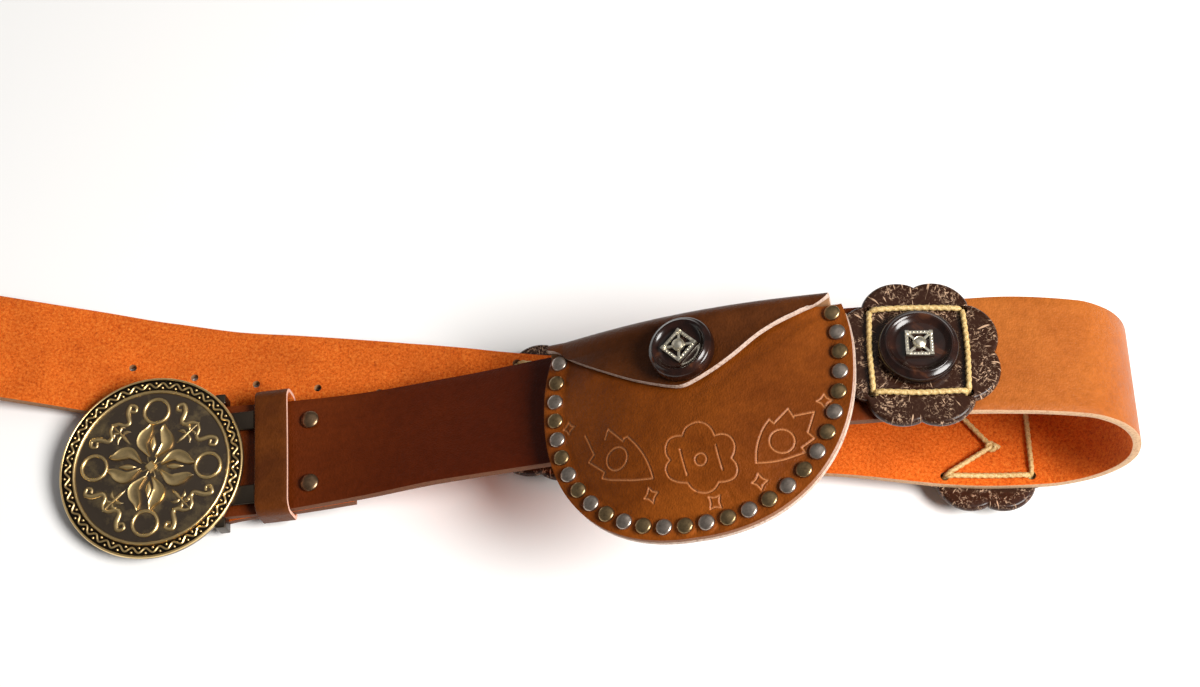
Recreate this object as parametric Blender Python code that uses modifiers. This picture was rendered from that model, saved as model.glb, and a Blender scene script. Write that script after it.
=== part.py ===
"""Money pouch belt, folded in two and lying on a table, in metres, +Z up.

A leather strap with a cast round buckle, a riveted keeper, a studded leather
pouch and three coconut shell flowers lashed on with flat cord. The strap's
tongue half lies below with its suede side up, turns through a free loop and
comes back above it with its smooth grain side up.
"""
import math

import bmesh
import bpy
import numpy as np
from mathutils import Matrix, Vector

# Gap between pieces that touch
CLEARANCE = 0.0003

# Strap
STRAP_WIDTH = 0.045
STRAP_THICKNESS = 0.003
TIP_LENGTH = 0.016
FOLDED_LENGTH = 0.470
PLAN_SPREAD = 0.050
LOOP_HEIGHT = 0.0703
LOOP_REACH = 0.048
FOLD_BACK_LENGTH = 0.052
PUNCH_RADIUS = 0.0015
PUNCH_PITCH = 0.0254
PUNCH_COUNT = 5
TIP_TO_PUNCH = 0.0888

# Shell flowers: a plate on the strap, a button on it and an ornament on that
PLATE_RADIUS = 0.0297
PLATE_THICKNESS = 0.0040
PLATE_LOBES = 8
LASH_SPACING = 0.0330
LASH_HOLE_RADIUS = 0.0018
CORD_RADIUS = 0.0011
BUTTON_RADIUS = 0.0142
BUTTON_HEIGHT = 0.0060
BUTTON_DISH = 0.0018
ORNAMENT_SIZE = 0.0098
ORNAMENT_HEIGHT = 0.0026

# Distances along the strap from the loop's outer end as shares of FOLDED_LENGTH, towards
# the buckle if positive, then shift across in metres, then turn in degrees
FLOWER_PLACES = {"shell_flower_1": (0.2191, 0.0, -6.0), "shell_flower_2": (-0.1404, -0.0022, 0.0),
                 "shell_flower_3": (-0.4979, 0.0006, 4.0)}
POUCH_PLACE = 0.3851
# Distances from the buckle's bar
KEEPER_TO_BAR = 0.0210
RIVET_TO_BAR = 0.0350

# Rivets and keeper
RIVET_HEAD_RADIUS = 0.0036
RIVET_SHANK_RADIUS = 0.0012
RIVET_HEAD_HEIGHT = 0.0016
RIVET_TAIL_HEIGHT = 0.0008
RIVET_SPREAD = 0.0267
KEEPER_WIDTH = 0.0128
KEEPER_WALL = 0.0016
KEEPER_SLOT = 0.0044
KEEPER_SIDE_GAP = 0.0030

# Buckle: a cast disc with a bar behind it for the strap and a hook for the holes
BUCKLE_RADIUS = 0.0365
BUCKLE_THICKNESS = 0.0030
BUCKLE_ROLL = 5.0
BUCKLE_SLOPE = 3.0
BUCKLE_TURN = -5.0
BAR_RADIUS = 0.0016
BAR_TO_CENTRE = 0.0270
BAR_POST_WIDTH = 0.0040
HOOK_RADIUS = 0.0014
HOOK_OFFSET = 0.0240
EAR_SIZE = (0.0110, 0.0075, 0.0014)
EAR_SPREAD = 0.0300
RELIEF_HEIGHT = 0.0008
WAVE_PERIODS = 38
RING_RADIUS = 0.0050
RING_WIRE = 0.0009

# Pouch: a flat back panel that folds over as the flap, and a domed front panel
POUCH_HALF_WIDTH = 0.0585
POUCH_DEPTH = 0.0618
POUCH_RISE = 0.0190
POUCH_WALL = 0.0018
POUCH_BULGE = 0.0085
POUCH_ROUNDNESS = 2.3
FOLD_RISE = 0.0175
FOLD_REACH = 0.0052
FLAP_SIDE_GAP = 0.0035
FLAP_DROP = 0.0080
FLAP_EASE = 0.0010
STUD_COUNT = 28
STUD_RADIUS = 0.0029
STUD_HEIGHT = 0.0017
STUD_INSET = 0.0046
FRONT_TOP_STEPS = 11
FRONT_SIDE_STEPS = 20
FLAP_BUTTON_RADIUS = 0.0121
FLAP_BUTTON_ACROSS = 0.0052
POUCH_TILT = 3.0
POUCH_SHIFT = -0.0012
LOOP_BAND_WIDTH = 0.050
LOOP_BAND_WALL = 0.0016
LOOP_BAND_SLACK = 0.0010

FLAP_HALF_WIDTH = POUCH_HALF_WIDTH - STUD_INSET - STUD_RADIUS - FLAP_SIDE_GAP

# Heights of the strap's middle above the table
FLOWER_STACK = PLATE_THICKNESS + BUTTON_HEIGHT - BUTTON_DISH + ORNAMENT_HEIGHT + 3 * CLEARANCE
LYING = STRAP_THICKNESS / 2
PROPPED = LYING + FLOWER_STACK
RAISED = PROPPED + LOOP_HEIGHT
BAR_WRAP = BAR_RADIUS + CLEARANCE + STRAP_THICKNESS / 2
ROLL_DROP = STRAP_WIDTH / 2 * math.sin(math.radians(BUCKLE_ROLL))
BAR_LEVEL = BAR_WRAP + STRAP_THICKNESS / 2 + ROLL_DROP + CLEARANCE
POUCH_LIFT = POUCH_HALF_WIDTH * math.sin(math.radians(POUCH_TILT))

# Tongue half. Columns: reach to the left of the loop's outer end as a share of
# FOLDED_LENGTH, spread as a share of PLAN_SPREAD, prop as a share from lying flat
# to propped on the flowers, and roll in degrees, far edge up
TONGUE_ROWS = (
    (1.000, 0.900, 1.10, -3.0),
    (0.917, 0.810, 0.67, -3.0),
    (0.845, 0.734, 0.26, -2.5),
    (0.787, 0.654, 0.00, 0.0),
    (0.734, 0.580, 0.00, 0.0),
    (0.672, 0.520, 0.17, 0.0),
    (0.585, 0.400, 0.63, 0.0),
    (0.513, 0.294, 1.00, 0.0),
    (0.451, 0.242, 1.00, 0.0),
    (0.351, 0.188, 1.00, 0.0),
    (0.220, 0.134, 1.00, 0.0),
)
# Pouch half. Columns: reach and spread as above, rise as a share of RAISED, and roll
POUCH_ROWS = (
    (0.149, 0.004, 1.000, -3.0),
    (0.222, -0.042, 0.970, -1.5),
    (0.341, -0.050, 0.771, -2.0),
    (0.458, -0.054, 0.512, -4.5),
    (0.537, -0.066, 0.341, -7.0),
    (0.613, -0.114, 0.215, -4.0),
    (0.666, -0.150, 0.160, 1.0),
    (0.696, -0.170, 0.138, 4.0),
)
LOOP_SPREAD = (0.034, 0.0, 0.018)
BAR_REACH = 0.726
BAR_SPREAD = -0.190
HAIRPIN_STEPS = 12
BAR_ARC_STEPS = 6

COLLECTION_NAME = "money_pouch_belt"


def clear_scene():
    for obj in list(bpy.data.objects):
        bpy.data.objects.remove(obj, do_unlink=True)


def make_collection(name):
    collection = bpy.data.collections.new(name)
    bpy.context.scene.collection.children.link(collection)
    return collection


def make_material(name, colour, roughness, metallic=0.0):
    material = bpy.data.materials.new(name)
    material.use_nodes = True
    shader = material.node_tree.nodes["Principled BSDF"]
    shader.inputs["Base Color"].default_value = (*colour, 1.0)
    shader.inputs["Roughness"].default_value = roughness
    shader.inputs["Metallic"].default_value = metallic
    return material


FINISHES = {
    "grain_leather": ((0.30, 0.11, 0.035), 0.45, 0.0),
    "pouch_leather": ((0.33, 0.13, 0.045), 0.45, 0.0),
    "antique_brass": ((0.30, 0.23, 0.13), 0.40, 1.0),
    "nickel": ((0.62, 0.60, 0.58), 0.30, 1.0),
    "silver_gilt": ((0.55, 0.48, 0.34), 0.35, 1.0),
    "coconut_shell": ((0.05, 0.022, 0.014), 0.25, 0.0),
    "horn_button": ((0.016, 0.009, 0.007), 0.15, 0.0),
    "flat_cord": ((0.52, 0.38, 0.20), 0.60, 0.0),
}


def finish_object(obj, finish):
    colour, roughness, metallic = FINISHES[finish]
    obj.data.materials.clear()
    obj.data.materials.append(make_material(obj.name, colour, roughness, metallic))
    return obj


def add_object(name, mesh, collection, finish=None):
    obj = bpy.data.objects.new(name, mesh)
    collection.objects.link(obj)
    if finish:
        finish_object(obj, finish)
    return obj


def as_cutter(obj):
    obj.hide_render = True
    obj.display_type = "WIRE"
    return obj


def grid_mesh(name, rows, closed_rows=False):
    """An open surface through rows of points, all of one length."""
    width = len(rows[0])
    points = [tuple(point) for row in rows for point in row]
    faces = []
    last = len(rows) if closed_rows else len(rows) - 1
    for i in range(last):
        below, above = i * width, (i + 1) % len(rows) * width
        for j in range(width - 1):
            faces.append((below + j, below + j + 1, above + j + 1, above + j))
    mesh = bpy.data.meshes.new(name)
    mesh.from_pydata(points, [], faces)
    return mesh


def add_solidify(obj, thickness, offset):
    modifier = obj.modifiers.new("Wall", "SOLIDIFY")
    modifier.thickness = thickness
    modifier.offset = offset
    modifier.use_even_offset = True
    return modifier


def add_boolean(obj, operand, operation):
    modifier = obj.modifiers.new(operation.title(), "BOOLEAN")
    modifier.operation = operation
    modifier.solver = "EXACT"
    modifier.object = operand
    return modifier


def turned_object(name, profile, steps, collection, finish=None):
    """A turned solid: the profile runs from the top of the axis to its foot."""
    mesh = bpy.data.meshes.new(name)
    edges = [(i, i + 1) for i in range(len(profile) - 1)]
    mesh.from_pydata([(radius, 0.0, height) for radius, height in profile], edges, [])
    obj = add_object(name, mesh, collection, finish)
    modifier = obj.modifiers.new("Turn", "SCREW")
    modifier.axis = "Z"
    modifier.steps = modifier.render_steps = steps
    modifier.use_merge_vertices = True
    modifier.merge_threshold = 0.00001
    modifier.use_smooth_shade = True
    return obj


def outline_plate(name, outline, thickness, collection, finish=None):
    """A flat plate cut to an outline, standing on z = 0, as a welded mesh."""
    curve = bpy.data.curves.new(name, "CURVE")
    curve.dimensions = "2D"
    curve.fill_mode = "BOTH"
    curve.extrude = thickness / 2
    spline = curve.splines.new("POLY")
    spline.points.add(len(outline) - 1)
    for point, (x, y) in zip(spline.points, outline):
        point.co = (x, y, 0.0, 1.0)
    spline.use_cyclic_u = True
    return curve_to_mesh(name, curve, Matrix.Translation((0, 0, thickness / 2)), collection, finish)


def wire_object(name, points, radius, collection, finish=None, closed=False, detail=1):
    curve = bpy.data.curves.new(name, "CURVE")
    curve.dimensions = "3D"
    curve.bevel_depth = radius
    curve.bevel_resolution = detail
    curve.use_fill_caps = True
    spline = curve.splines.new("POLY")
    spline.points.add(len(points) - 1)
    for point, place in zip(spline.points, points):
        point.co = (*place, 1.0)
    spline.use_cyclic_u = closed
    return curve_to_mesh(name, curve, Matrix.Identity(4), collection, finish)


def curve_to_mesh(name, curve, shift, collection, finish):
    source = bpy.data.objects.new(name + "_curve", curve)
    collection.objects.link(source)
    bpy.context.view_layer.update()
    depsgraph = bpy.context.evaluated_depsgraph_get()
    mesh = bpy.data.meshes.new_from_object(source.evaluated_get(depsgraph))
    bpy.data.objects.remove(source, do_unlink=True)
    work = bmesh.new()
    work.from_mesh(mesh)
    bmesh.ops.remove_doubles(work, verts=work.verts, dist=0.00001)
    bmesh.ops.recalc_face_normals(work, faces=work.faces)
    bmesh.ops.transform(work, matrix=shift, verts=work.verts)
    work.to_mesh(mesh)
    work.free()
    mesh.name = name
    return add_object(name, mesh, collection, finish)


def rounded_box(name, size, collection):
    work = bmesh.new()
    bmesh.ops.create_cube(work, size=1.0, matrix=Matrix.Diagonal((*size, 1.0)))
    mesh = bpy.data.meshes.new(name)
    work.to_mesh(mesh)
    work.free()
    return add_object(name, mesh, collection)


def round_rod(name, radius, length, sides, collection, tip_radius=None):
    work = bmesh.new()
    bmesh.ops.create_cone(work, cap_ends=True, segments=sides, radius1=radius,
                          radius2=radius if tip_radius is None else tip_radius, depth=length)
    mesh = bpy.data.meshes.new(name)
    work.to_mesh(mesh)
    work.free()
    return add_object(name, mesh, collection)


# The strap's route

def hairpin_keys():
    """The free loop: a springy strip bent back between two level ends."""
    fine = np.linspace(0.0, math.pi, 401)
    climb = np.concatenate(([0.0], np.cumsum(np.sqrt(np.abs(np.sin((fine[1:] + fine[:-1]) / 2))))))
    low, middle, high = LOOP_SPREAD
    keys = []
    for angle in np.linspace(0.0, math.pi, HAIRPIN_STEPS + 1):
        height = float(np.interp(angle, fine, climb) / climb[-1])
        bend = math.sqrt(abs(math.sin(angle)))
        spread = float(np.interp(height, (0.0, 0.5, 1.0), (low, middle, high)))
        keys.append((-LOOP_REACH * (1 - bend), spread * PLAN_SPREAD, PROPPED + LOOP_HEIGHT * height, 0.0))
    return keys


def route_keys():
    keys = []
    for reach, spread, prop, roll in TONGUE_ROWS:
        keys.append((-reach * FOLDED_LENGTH, spread * PLAN_SPREAD, LYING + prop * FLOWER_STACK, roll))
    keys += hairpin_keys()
    for reach, spread, rise, roll in POUCH_ROWS:
        keys.append((-reach * FOLDED_LENGTH, spread * PLAN_SPREAD, rise * RAISED, roll))
    bar_x = -BAR_REACH * FOLDED_LENGTH
    keys.append((bar_x, BAR_SPREAD * PLAN_SPREAD, BAR_LEVEL + BAR_WRAP, BUCKLE_ROLL))
    return keys


class Route:
    """A smooth curve through key points that never overshoots them."""

    def __init__(self, keys):
        self.keys = np.array(keys)
        steps = np.linalg.norm(np.diff(self.keys[:, :3], axis=0), axis=1)
        self.at = np.concatenate(([0.0], np.cumsum(steps)))
        self.slopes = np.array([self.steady_slopes(column) for column in self.keys.T]).T
        fine = np.linspace(0.0, self.at[-1], 1500)
        places = np.array([self.read(where)[:3] for where in fine])
        lengths = np.linalg.norm(np.diff(places, axis=0), axis=1)
        self.fine, self.lengths = fine, np.concatenate(([0.0], np.cumsum(lengths)))
        self.loop_end = float(self.lengths[np.argmax(places[:, 0])])
        self.length = float(self.lengths[-1])
        self.reach_to_bar = self.length - self.loop_end

    def steady_slopes(self, values):
        step = np.diff(self.at)
        secant = np.diff(values) / step
        slopes = np.zeros(len(values))
        slopes[0], slopes[-1] = secant[0], secant[-1]
        for i in range(1, len(values) - 1):
            if secant[i - 1] * secant[i] > 0:
                before, after = 2 * step[i] + step[i - 1], step[i] + 2 * step[i - 1]
                slopes[i] = (before + after) / (before / secant[i - 1] + after / secant[i])
        return slopes

    def read(self, where):
        i = min(max(int(np.searchsorted(self.at, where)) - 1, 0), len(self.at) - 2)
        step = self.at[i + 1] - self.at[i]
        t = (where - self.at[i]) / step
        rise = 3 * t ** 2 - 2 * t ** 3
        return ((1 - rise) * self.keys[i] + rise * self.keys[i + 1]
                + (t ** 3 - 2 * t ** 2 + t) * step * self.slopes[i]
                + (t ** 3 - t ** 2) * step * self.slopes[i + 1])

    def frame(self, distance):
        """Place and axes at a length from the tip: along, across and grain side out."""
        where = float(np.interp(distance, self.lengths, self.fine))
        nudge = 0.0004
        here = self.read(where)
        ahead = Vector(self.read(min(where + nudge, self.at[-1]))[:3])
        behind = Vector(self.read(max(where - nudge, 0.0))[:3])
        along = (ahead - behind).normalized()
        level = Vector((0.0, 1.0, 0.0))
        across = (level - along * level.dot(along)).normalized()
        grain = across.cross(along)
        roll = math.radians(here[3]) * (1.0 if grain.z > 0 else -1.0)
        across, grain = (across * math.cos(roll) + grain * math.sin(roll),
                         grain * math.cos(roll) - across * math.sin(roll))
        return Vector(here[:3]), along, across, grain

    def matrix(self, from_loop, across_shift=0.0, height=0.0, turn=0.0):
        """Axes for a piece on the grain side: right, across the strap, and out."""
        place, along, across, grain = self.frame(self.loop_end + from_loop)
        right = across.cross(grain)
        place = place + across * across_shift + grain * height
        axes = Matrix((right, across, grain)).transposed().to_4x4()
        return Matrix.Translation(place) @ axes @ Matrix.Rotation(math.radians(turn), 4, "Z")


def strap_stations(route):
    """Lengths from the tip, close together at the tip and in the loop."""
    tip = [TIP_LENGTH * share for share in (0.0, 0.06, 0.25, 0.55, 1.0)]
    stations = list(tip)
    while stations[-1] < route.length - 0.004:
        near_loop = abs(stations[-1] - route.loop_end) < 0.085
        stations.append(stations[-1] + (0.0065 if near_loop else 0.0165))
    stations[-1] = route.length
    return stations


def tip_share(distance):
    """Half width near the rounded tip as a share of the full half width."""
    if distance >= TIP_LENGTH:
        return 1.0
    left = 1 - distance / TIP_LENGTH
    return max(0.30, 1 - left ** 2.2 * 0.70)


def fold_back_rows(route):
    """The strap's end, round the buckle's bar and back beneath itself."""
    place, along, across, grain = route.frame(route.length)
    centre = place - grain * BAR_WRAP
    rows = []
    for i in range(1, BAR_ARC_STEPS + 1):
        angle = math.pi * i / BAR_ARC_STEPS
        rows.append((centre + grain * BAR_WRAP * math.cos(angle) + along * BAR_WRAP * math.sin(angle), across))
    closing = STRAP_THICKNESS + CLEARANCE
    for share in (0.08, 0.16, 0.26, 0.6, 1.0):
        back = FOLD_BACK_LENGTH * share
        place, along, across, grain = route.frame(route.length - back)
        ease = max(0.0, 1 - back / (BAR_WRAP * 4)) ** 2
        rows.append((place - grain * (closing + (2 * BAR_WRAP - closing) * ease), across))
    return rows


def make_strap(route, parts, cutters):
    rows = []
    half = STRAP_WIDTH / 2
    for distance in strap_stations(route):
        place, along, across, grain = route.frame(distance)
        reach = half * tip_share(distance)
        rows.append([place - across * reach, place, place + across * reach])
    for place, across in fold_back_rows(route):
        rows.append([place - across * half, place, place + across * half])
    strap = add_object("strap", grid_mesh("strap", rows), parts, "grain_leather")
    add_solidify(strap, STRAP_THICKNESS, 0.0)

    places = [(TIP_TO_PUNCH + PUNCH_PITCH * i - route.loop_end, 0.0, PUNCH_RADIUS, 0.010)
              for i in range(PUNCH_COUNT)]
    for side in (-1, 1):
        places.append((route.reach_to_bar - RIVET_TO_BAR, side * RIVET_SPREAD / 2,
                       RIVET_SHANK_RADIUS + CLEARANCE, 0.020))
    for distance, shift, radius, depth in places:
        punch = round_rod("strap_punch", radius, depth, 8, cutters)
        punch.matrix_world = route.matrix(distance, shift)
        add_boolean(strap, as_cutter(punch), "DIFFERENCE")
    for share, shift, turn in FLOWER_PLACES.values():
        for x, y in lash_corners():
            punch = round_rod("lash_punch", LASH_HOLE_RADIUS, 0.014, 6, cutters)
            punch.matrix_world = (route.matrix(share * FOLDED_LENGTH, shift, 0.0, turn)
                                  @ Matrix.Translation((x, y, 0)))
            add_boolean(strap, as_cutter(punch), "DIFFERENCE")


def lash_corners():
    half = LASH_SPACING / 2
    return ((-half, -half), (half, -half), (half, half), (-half, half))


# Keeper and rivets

def make_keeper(route, parts):
    """A band round both layers of the strap, with room for the tongue above them."""
    low = -(STRAP_THICKNESS * 1.5 + CLEARANCE * 3)
    high = STRAP_THICKNESS / 2 + KEEPER_SLOT
    near = -(STRAP_WIDTH / 2 + CLEARANCE * 2)
    far = STRAP_WIDTH / 2 + KEEPER_SIDE_GAP
    wide, tight = KEEPER_SLOT * 0.9, CLEARANCE * 4
    path = []
    corners = ((far, high, 0, wide), (near, high, 1, wide), (near, low, 2, tight), (far, low, 3, wide))
    for y, z, quarter, corner in corners:
        inward_y = y - corner if y > 0 else y + corner
        inward_z = z - corner if z > 0 else z + corner
        for step in range(4):
            angle = math.pi / 2 * (quarter + step / 3)
            path.append((inward_y + corner * math.cos(angle), inward_z + corner * math.sin(angle)))
    rows = [[(x, y, z) for x in (KEEPER_WIDTH / 2, -KEEPER_WIDTH / 2)] for y, z in path]
    keeper = add_object("keeper", grid_mesh("keeper", rows, closed_rows=True), parts, "grain_leather")
    add_solidify(keeper, KEEPER_WALL, 1.0)
    keeper.matrix_world = route.matrix(route.reach_to_bar - KEEPER_TO_BAR)


def make_rivets(route, parts):
    top = STRAP_THICKNESS / 2 + CLEARANCE * 2
    foot = -(STRAP_THICKNESS * 1.5 + CLEARANCE * 3)
    profile = ((0.0, top + RIVET_HEAD_HEIGHT), (RIVET_HEAD_RADIUS * 0.55, top + RIVET_HEAD_HEIGHT * 0.86),
               (RIVET_HEAD_RADIUS, top + RIVET_HEAD_HEIGHT * 0.2), (RIVET_HEAD_RADIUS, top),
               (RIVET_SHANK_RADIUS, top), (RIVET_SHANK_RADIUS, foot),
               (RIVET_SHANK_RADIUS * 2, foot), (RIVET_SHANK_RADIUS * 2, foot - RIVET_TAIL_HEIGHT),
               (0.0, foot - RIVET_TAIL_HEIGHT))
    for number, side in ((1, 1), (2, -1)):
        rivet = turned_object(f"strap_rivet_{number}", profile, 10, parts, "antique_brass")
        rivet.matrix_world = route.matrix(route.reach_to_bar - RIVET_TO_BAR, side * RIVET_SPREAD / 2)


# Buckle

def buckle_matrix(route):
    """Axes at the disc's centre on its back face."""
    place, along, across, grain = route.frame(route.length)
    bar = Matrix.Translation(place + grain * (STRAP_THICKNESS / 2 + CLEARANCE * 2))
    axes = Matrix((across.cross(grain), across, grain)).transposed().to_4x4()
    lean = Matrix.Rotation(math.radians(-BUCKLE_SLOPE), 4, "Y")
    return bar @ axes @ lean @ Matrix.Translation((-BAR_TO_CENTRE, 0, 0))


def leaf_outline(length, width, bend, start):
    """A slim leaf along +Y, bowed to one side, with both ends drawn to a point."""
    shares = (0.0, 0.25, 0.55, 0.80)
    middle = [(bend * math.sin(math.pi * s * 0.9), start + length * s) for s in shares]
    half = [width / 2 * max(0.25, math.sin(math.pi * min(1.0, 0.15 + s * 0.85))) for s in shares]
    right = [(x + h, y) for (x, y), h in zip(middle, half)]
    left = [(x - h, y) for (x, y), h in zip(middle, half)]
    return right + [(bend * 0.3, start + length)] + left[::-1]


def relief_plate(name, outline, face, turn, shift, cutters):
    plate = outline_plate(name, outline, RELIEF_HEIGHT * 2, cutters)
    plate.matrix_world = (Matrix.Rotation(math.radians(turn), 4, "Z")
                          @ Matrix.Translation((*shift, face - RELIEF_HEIGHT)))
    return plate


def joined(name, pieces, collection):
    """One mesh of pieces that lie apart from each other."""
    work = bmesh.new()
    bpy.context.view_layer.update()
    for piece in pieces:
        mesh = piece.data.copy()
        mesh.transform(piece.matrix_world)
        work.from_mesh(mesh)
        bpy.data.objects.remove(piece, do_unlink=True)
    mesh = bpy.data.meshes.new(name)
    work.to_mesh(mesh)
    work.free()
    return add_object(name, mesh, collection)


def buckle_relief(field, band, cutters):
    """Raised casting in groups whose pieces lie clear of each other."""
    rings, leaves, sprigs = [], [], []
    for quarter in range(4):
        turn = 90.0 * quarter
        bpy.ops.mesh.primitive_torus_add(major_segments=10, minor_segments=5,
                                         major_radius=RING_RADIUS, minor_radius=RING_WIRE)
        ring = bpy.context.object
        ring.matrix_world = (Matrix.Rotation(math.radians(turn), 4, "Z")
                             @ Matrix.Translation((0, BUCKLE_RADIUS * 0.62, field)))
        rings.append(ring)
        for side in (-1, 1):
            outline = leaf_outline(BUCKLE_RADIUS * 0.36, BUCKLE_RADIUS * 0.085, side * BUCKLE_RADIUS * 0.07,
                                   BUCKLE_RADIUS * 0.09)
            leaves.append(relief_plate("flame_leaf", outline, field, turn,
                                       (side * BUCKLE_RADIUS * 0.066, 0), cutters))
        outline = leaf_outline(BUCKLE_RADIUS * 0.24, BUCKLE_RADIUS * 0.05, 0.0, BUCKLE_RADIUS * 0.17)
        leaves.append(relief_plate("slim_leaf", outline, field, turn, (0, 0), cutters))
        for lean, start, length in ((0, 0.42, 0.34), (34, 0.46, 0.20), (-34, 0.46, 0.20)):
            outline = leaf_outline(BUCKLE_RADIUS * length, BUCKLE_RADIUS * 0.06, 0.0, 0.0)
            sprig = relief_plate("sprig_leaf", outline, field, 0, (0, 0), cutters)
            sprig.matrix_world = (Matrix.Rotation(math.radians(turn + 45), 4, "Z")
                                  @ Matrix.Translation((math.sin(math.radians(-lean)) * BUCKLE_RADIUS * 0.10,
                                                        BUCKLE_RADIUS * start, 0))
                                  @ Matrix.Rotation(math.radians(lean), 4, "Z") @ sprig.matrix_world)
            sprigs.append(sprig)
    wave = []
    for i in range(WAVE_PERIODS * 2):
        angle = math.pi * (i + 0.5) / WAVE_PERIODS + math.pi / (2 * WAVE_PERIODS)
        radius = BUCKLE_RADIUS * (0.900 if i % 2 else 0.940)
        wave.append((radius * math.cos(angle), radius * math.sin(angle), band))
    groups = [joined("relief_rings", rings, cutters), joined("relief_leaves", leaves, cutters),
              joined("relief_sprigs", sprigs, cutters),
              wire_object("relief_wave", wave, BUCKLE_RADIUS * 0.012, cutters, closed=True, detail=0)]
    return groups


def make_buckle(route, parts, cutters):
    axes = buckle_matrix(route)
    face = BUCKLE_THICKNESS
    band, field = face - 0.0006, face - 0.0005
    radius = BUCKLE_RADIUS
    profile = ((0.0, field), (radius * 0.820, field), (radius * 0.832, face + 0.0003),
               (radius * 0.858, face + 0.0003), (radius * 0.866, band), (radius * 0.972, band),
               (radius * 0.980, face), (radius * 0.996, face - 0.0002), (radius, face - 0.0008),
               (radius * 0.985, 0.0004), (radius * 0.96, 0.0), (0.0, 0.0))
    disc = turned_object("buckle", profile, 40, parts, "antique_brass")
    disc.matrix_world = axes
    turned = axes @ Matrix.Rotation(math.radians(BUCKLE_TURN), 4, "Z")
    for group in buckle_relief(field, band, cutters):
        group.matrix_world = turned
        add_boolean(disc, as_cutter(group), "UNION")

    # The bar sits behind the disc, inside the strap's fold, on a post at each end
    place, along, across, grain = route.frame(route.length)
    bar_axes = Matrix((across.cross(grain), across, grain)).transposed().to_4x4()
    at_bar = Matrix.Translation(place - grain * BAR_WRAP) @ bar_axes
    post_out = STRAP_WIDTH / 2 + CLEARANCE * 2 + BAR_POST_WIDTH / 2
    bar = round_rod("bar", BAR_RADIUS, post_out * 2, 8, cutters)
    bar.matrix_world = at_bar @ Matrix.Rotation(math.pi / 2, 4, "X")
    add_boolean(disc, as_cutter(bar), "UNION")
    post_foot = -BAR_RADIUS * 0.8
    post_height = BAR_WRAP - post_foot + STRAP_THICKNESS / 2 + CLEARANCE * 2 + BUCKLE_THICKNESS * 0.5
    for side in (-1, 1):
        post = rounded_box("bar_post", (BAR_POST_WIDTH, BAR_POST_WIDTH, post_height), cutters)
        post.matrix_world = at_bar @ Matrix.Translation((0, side * post_out, post_foot + post_height / 2))
        add_boolean(disc, as_cutter(post), "UNION")
        ear = rounded_box("strap_ear", EAR_SIZE, cutters)
        ear.matrix_world = axes @ Matrix.Translation(
            (radius * 0.96, side * EAR_SPREAD / 2, EAR_SIZE[2] / 2 + 0.0002))
        add_boolean(disc, as_cutter(ear), "UNION")

    # The hook reaches down to the table behind the disc's free side
    drop = hook_drop(axes)
    hook = round_rod("hook", HOOK_RADIUS, drop + BUCKLE_THICKNESS * 0.5, 10, cutters, HOOK_RADIUS * 1.3)
    hook.matrix_world = axes @ Matrix.Translation((-HOOK_OFFSET, 0, (BUCKLE_THICKNESS * 0.5 - drop) / 2))
    add_boolean(disc, as_cutter(hook), "UNION")


def hook_drop(axes):
    """Length from the disc's back along its normal to just above the table."""
    foot = axes @ Vector((-HOOK_OFFSET, 0, 0))
    normal = axes.to_3x3() @ Vector((0, 0, 1))
    side_lift = HOOK_RADIUS * 1.3 * math.sqrt(1 - normal.z ** 2)
    return (foot.z - side_lift) / normal.z


# Shell flowers

def plate_outline():
    points = []
    for lobe in range(PLATE_LOBES):
        for step in range(4):
            angle = 2 * math.pi * (lobe + step / 4) / PLATE_LOBES
            swell = abs(math.sin(angle * PLATE_LOBES / 2)) ** 0.8
            radius = PLATE_RADIUS * (0.90 + 0.10 * swell)
            points.append((radius * math.cos(angle), radius * math.sin(angle)))
    return points


def button_profile(radius, height):
    """A turned button: a stepped rim round a shallow dish, from the axis outwards."""
    seat = height - BUTTON_DISH
    return ((0.0, seat), (radius * 0.60, seat), (radius * 0.70, seat + BUTTON_DISH * 0.75),
            (radius * 0.80, height), (radius * 0.92, height * 0.86), (radius, height * 0.42),
            (radius * 0.97, 0.0), (0.0, 0.0))


def make_ornament(name, size, height, matrix, parts, cutters):
    """A square open frame with four arms to a round stone, soldered into one."""
    half, bar = size / 2, size * 0.13
    outline = ((-half, -half), (half, -half), (half, half), (-half, half))
    plate = outline_plate(name, outline, height * 0.5, parts, "silver_gilt")
    plate.matrix_world = matrix
    inner = half - bar
    reach = size * 0.20
    for quarter in range(4):
        window = ((inner, -inner + reach), (inner, inner - reach), (reach * 0.9, reach * 0.20),
                  (reach * 0.9, -reach * 0.20))
        opening = outline_plate(name + "_window", window, height, cutters)
        opening.matrix_world = (matrix @ Matrix.Rotation(math.pi / 2 * quarter, 4, "Z")
                                @ Matrix.Translation((0, 0, -height * 0.25)))
        add_boolean(plate, as_cutter(opening), "DIFFERENCE")
    stone_radius = size * 0.20
    profile = ((0.0, height), (stone_radius * 0.6, height * 0.92), (stone_radius, height * 0.55),
               (stone_radius, height * 0.1), (0.0, height * 0.1))
    stone = turned_object(name + "_stone", profile, 10, cutters)
    stone.matrix_world = matrix
    add_boolean(plate, as_cutter(stone), "UNION")


def strap_behind(route, place, axes, x, y):
    """Height of the strap's other side below a point of a flower's own axes."""
    distance, shift, turn = place
    lean = math.radians(turn)
    along_x, across_y = x * math.cos(lean) - y * math.sin(lean), x * math.sin(lean) + y * math.cos(lean)
    middle, along, across, grain = route.frame(route.loop_end + distance - along_x)
    point = middle + across * (shift + across_y) - grain * (STRAP_THICKNESS / 2)
    return (axes.inverted() @ point).z


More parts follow.
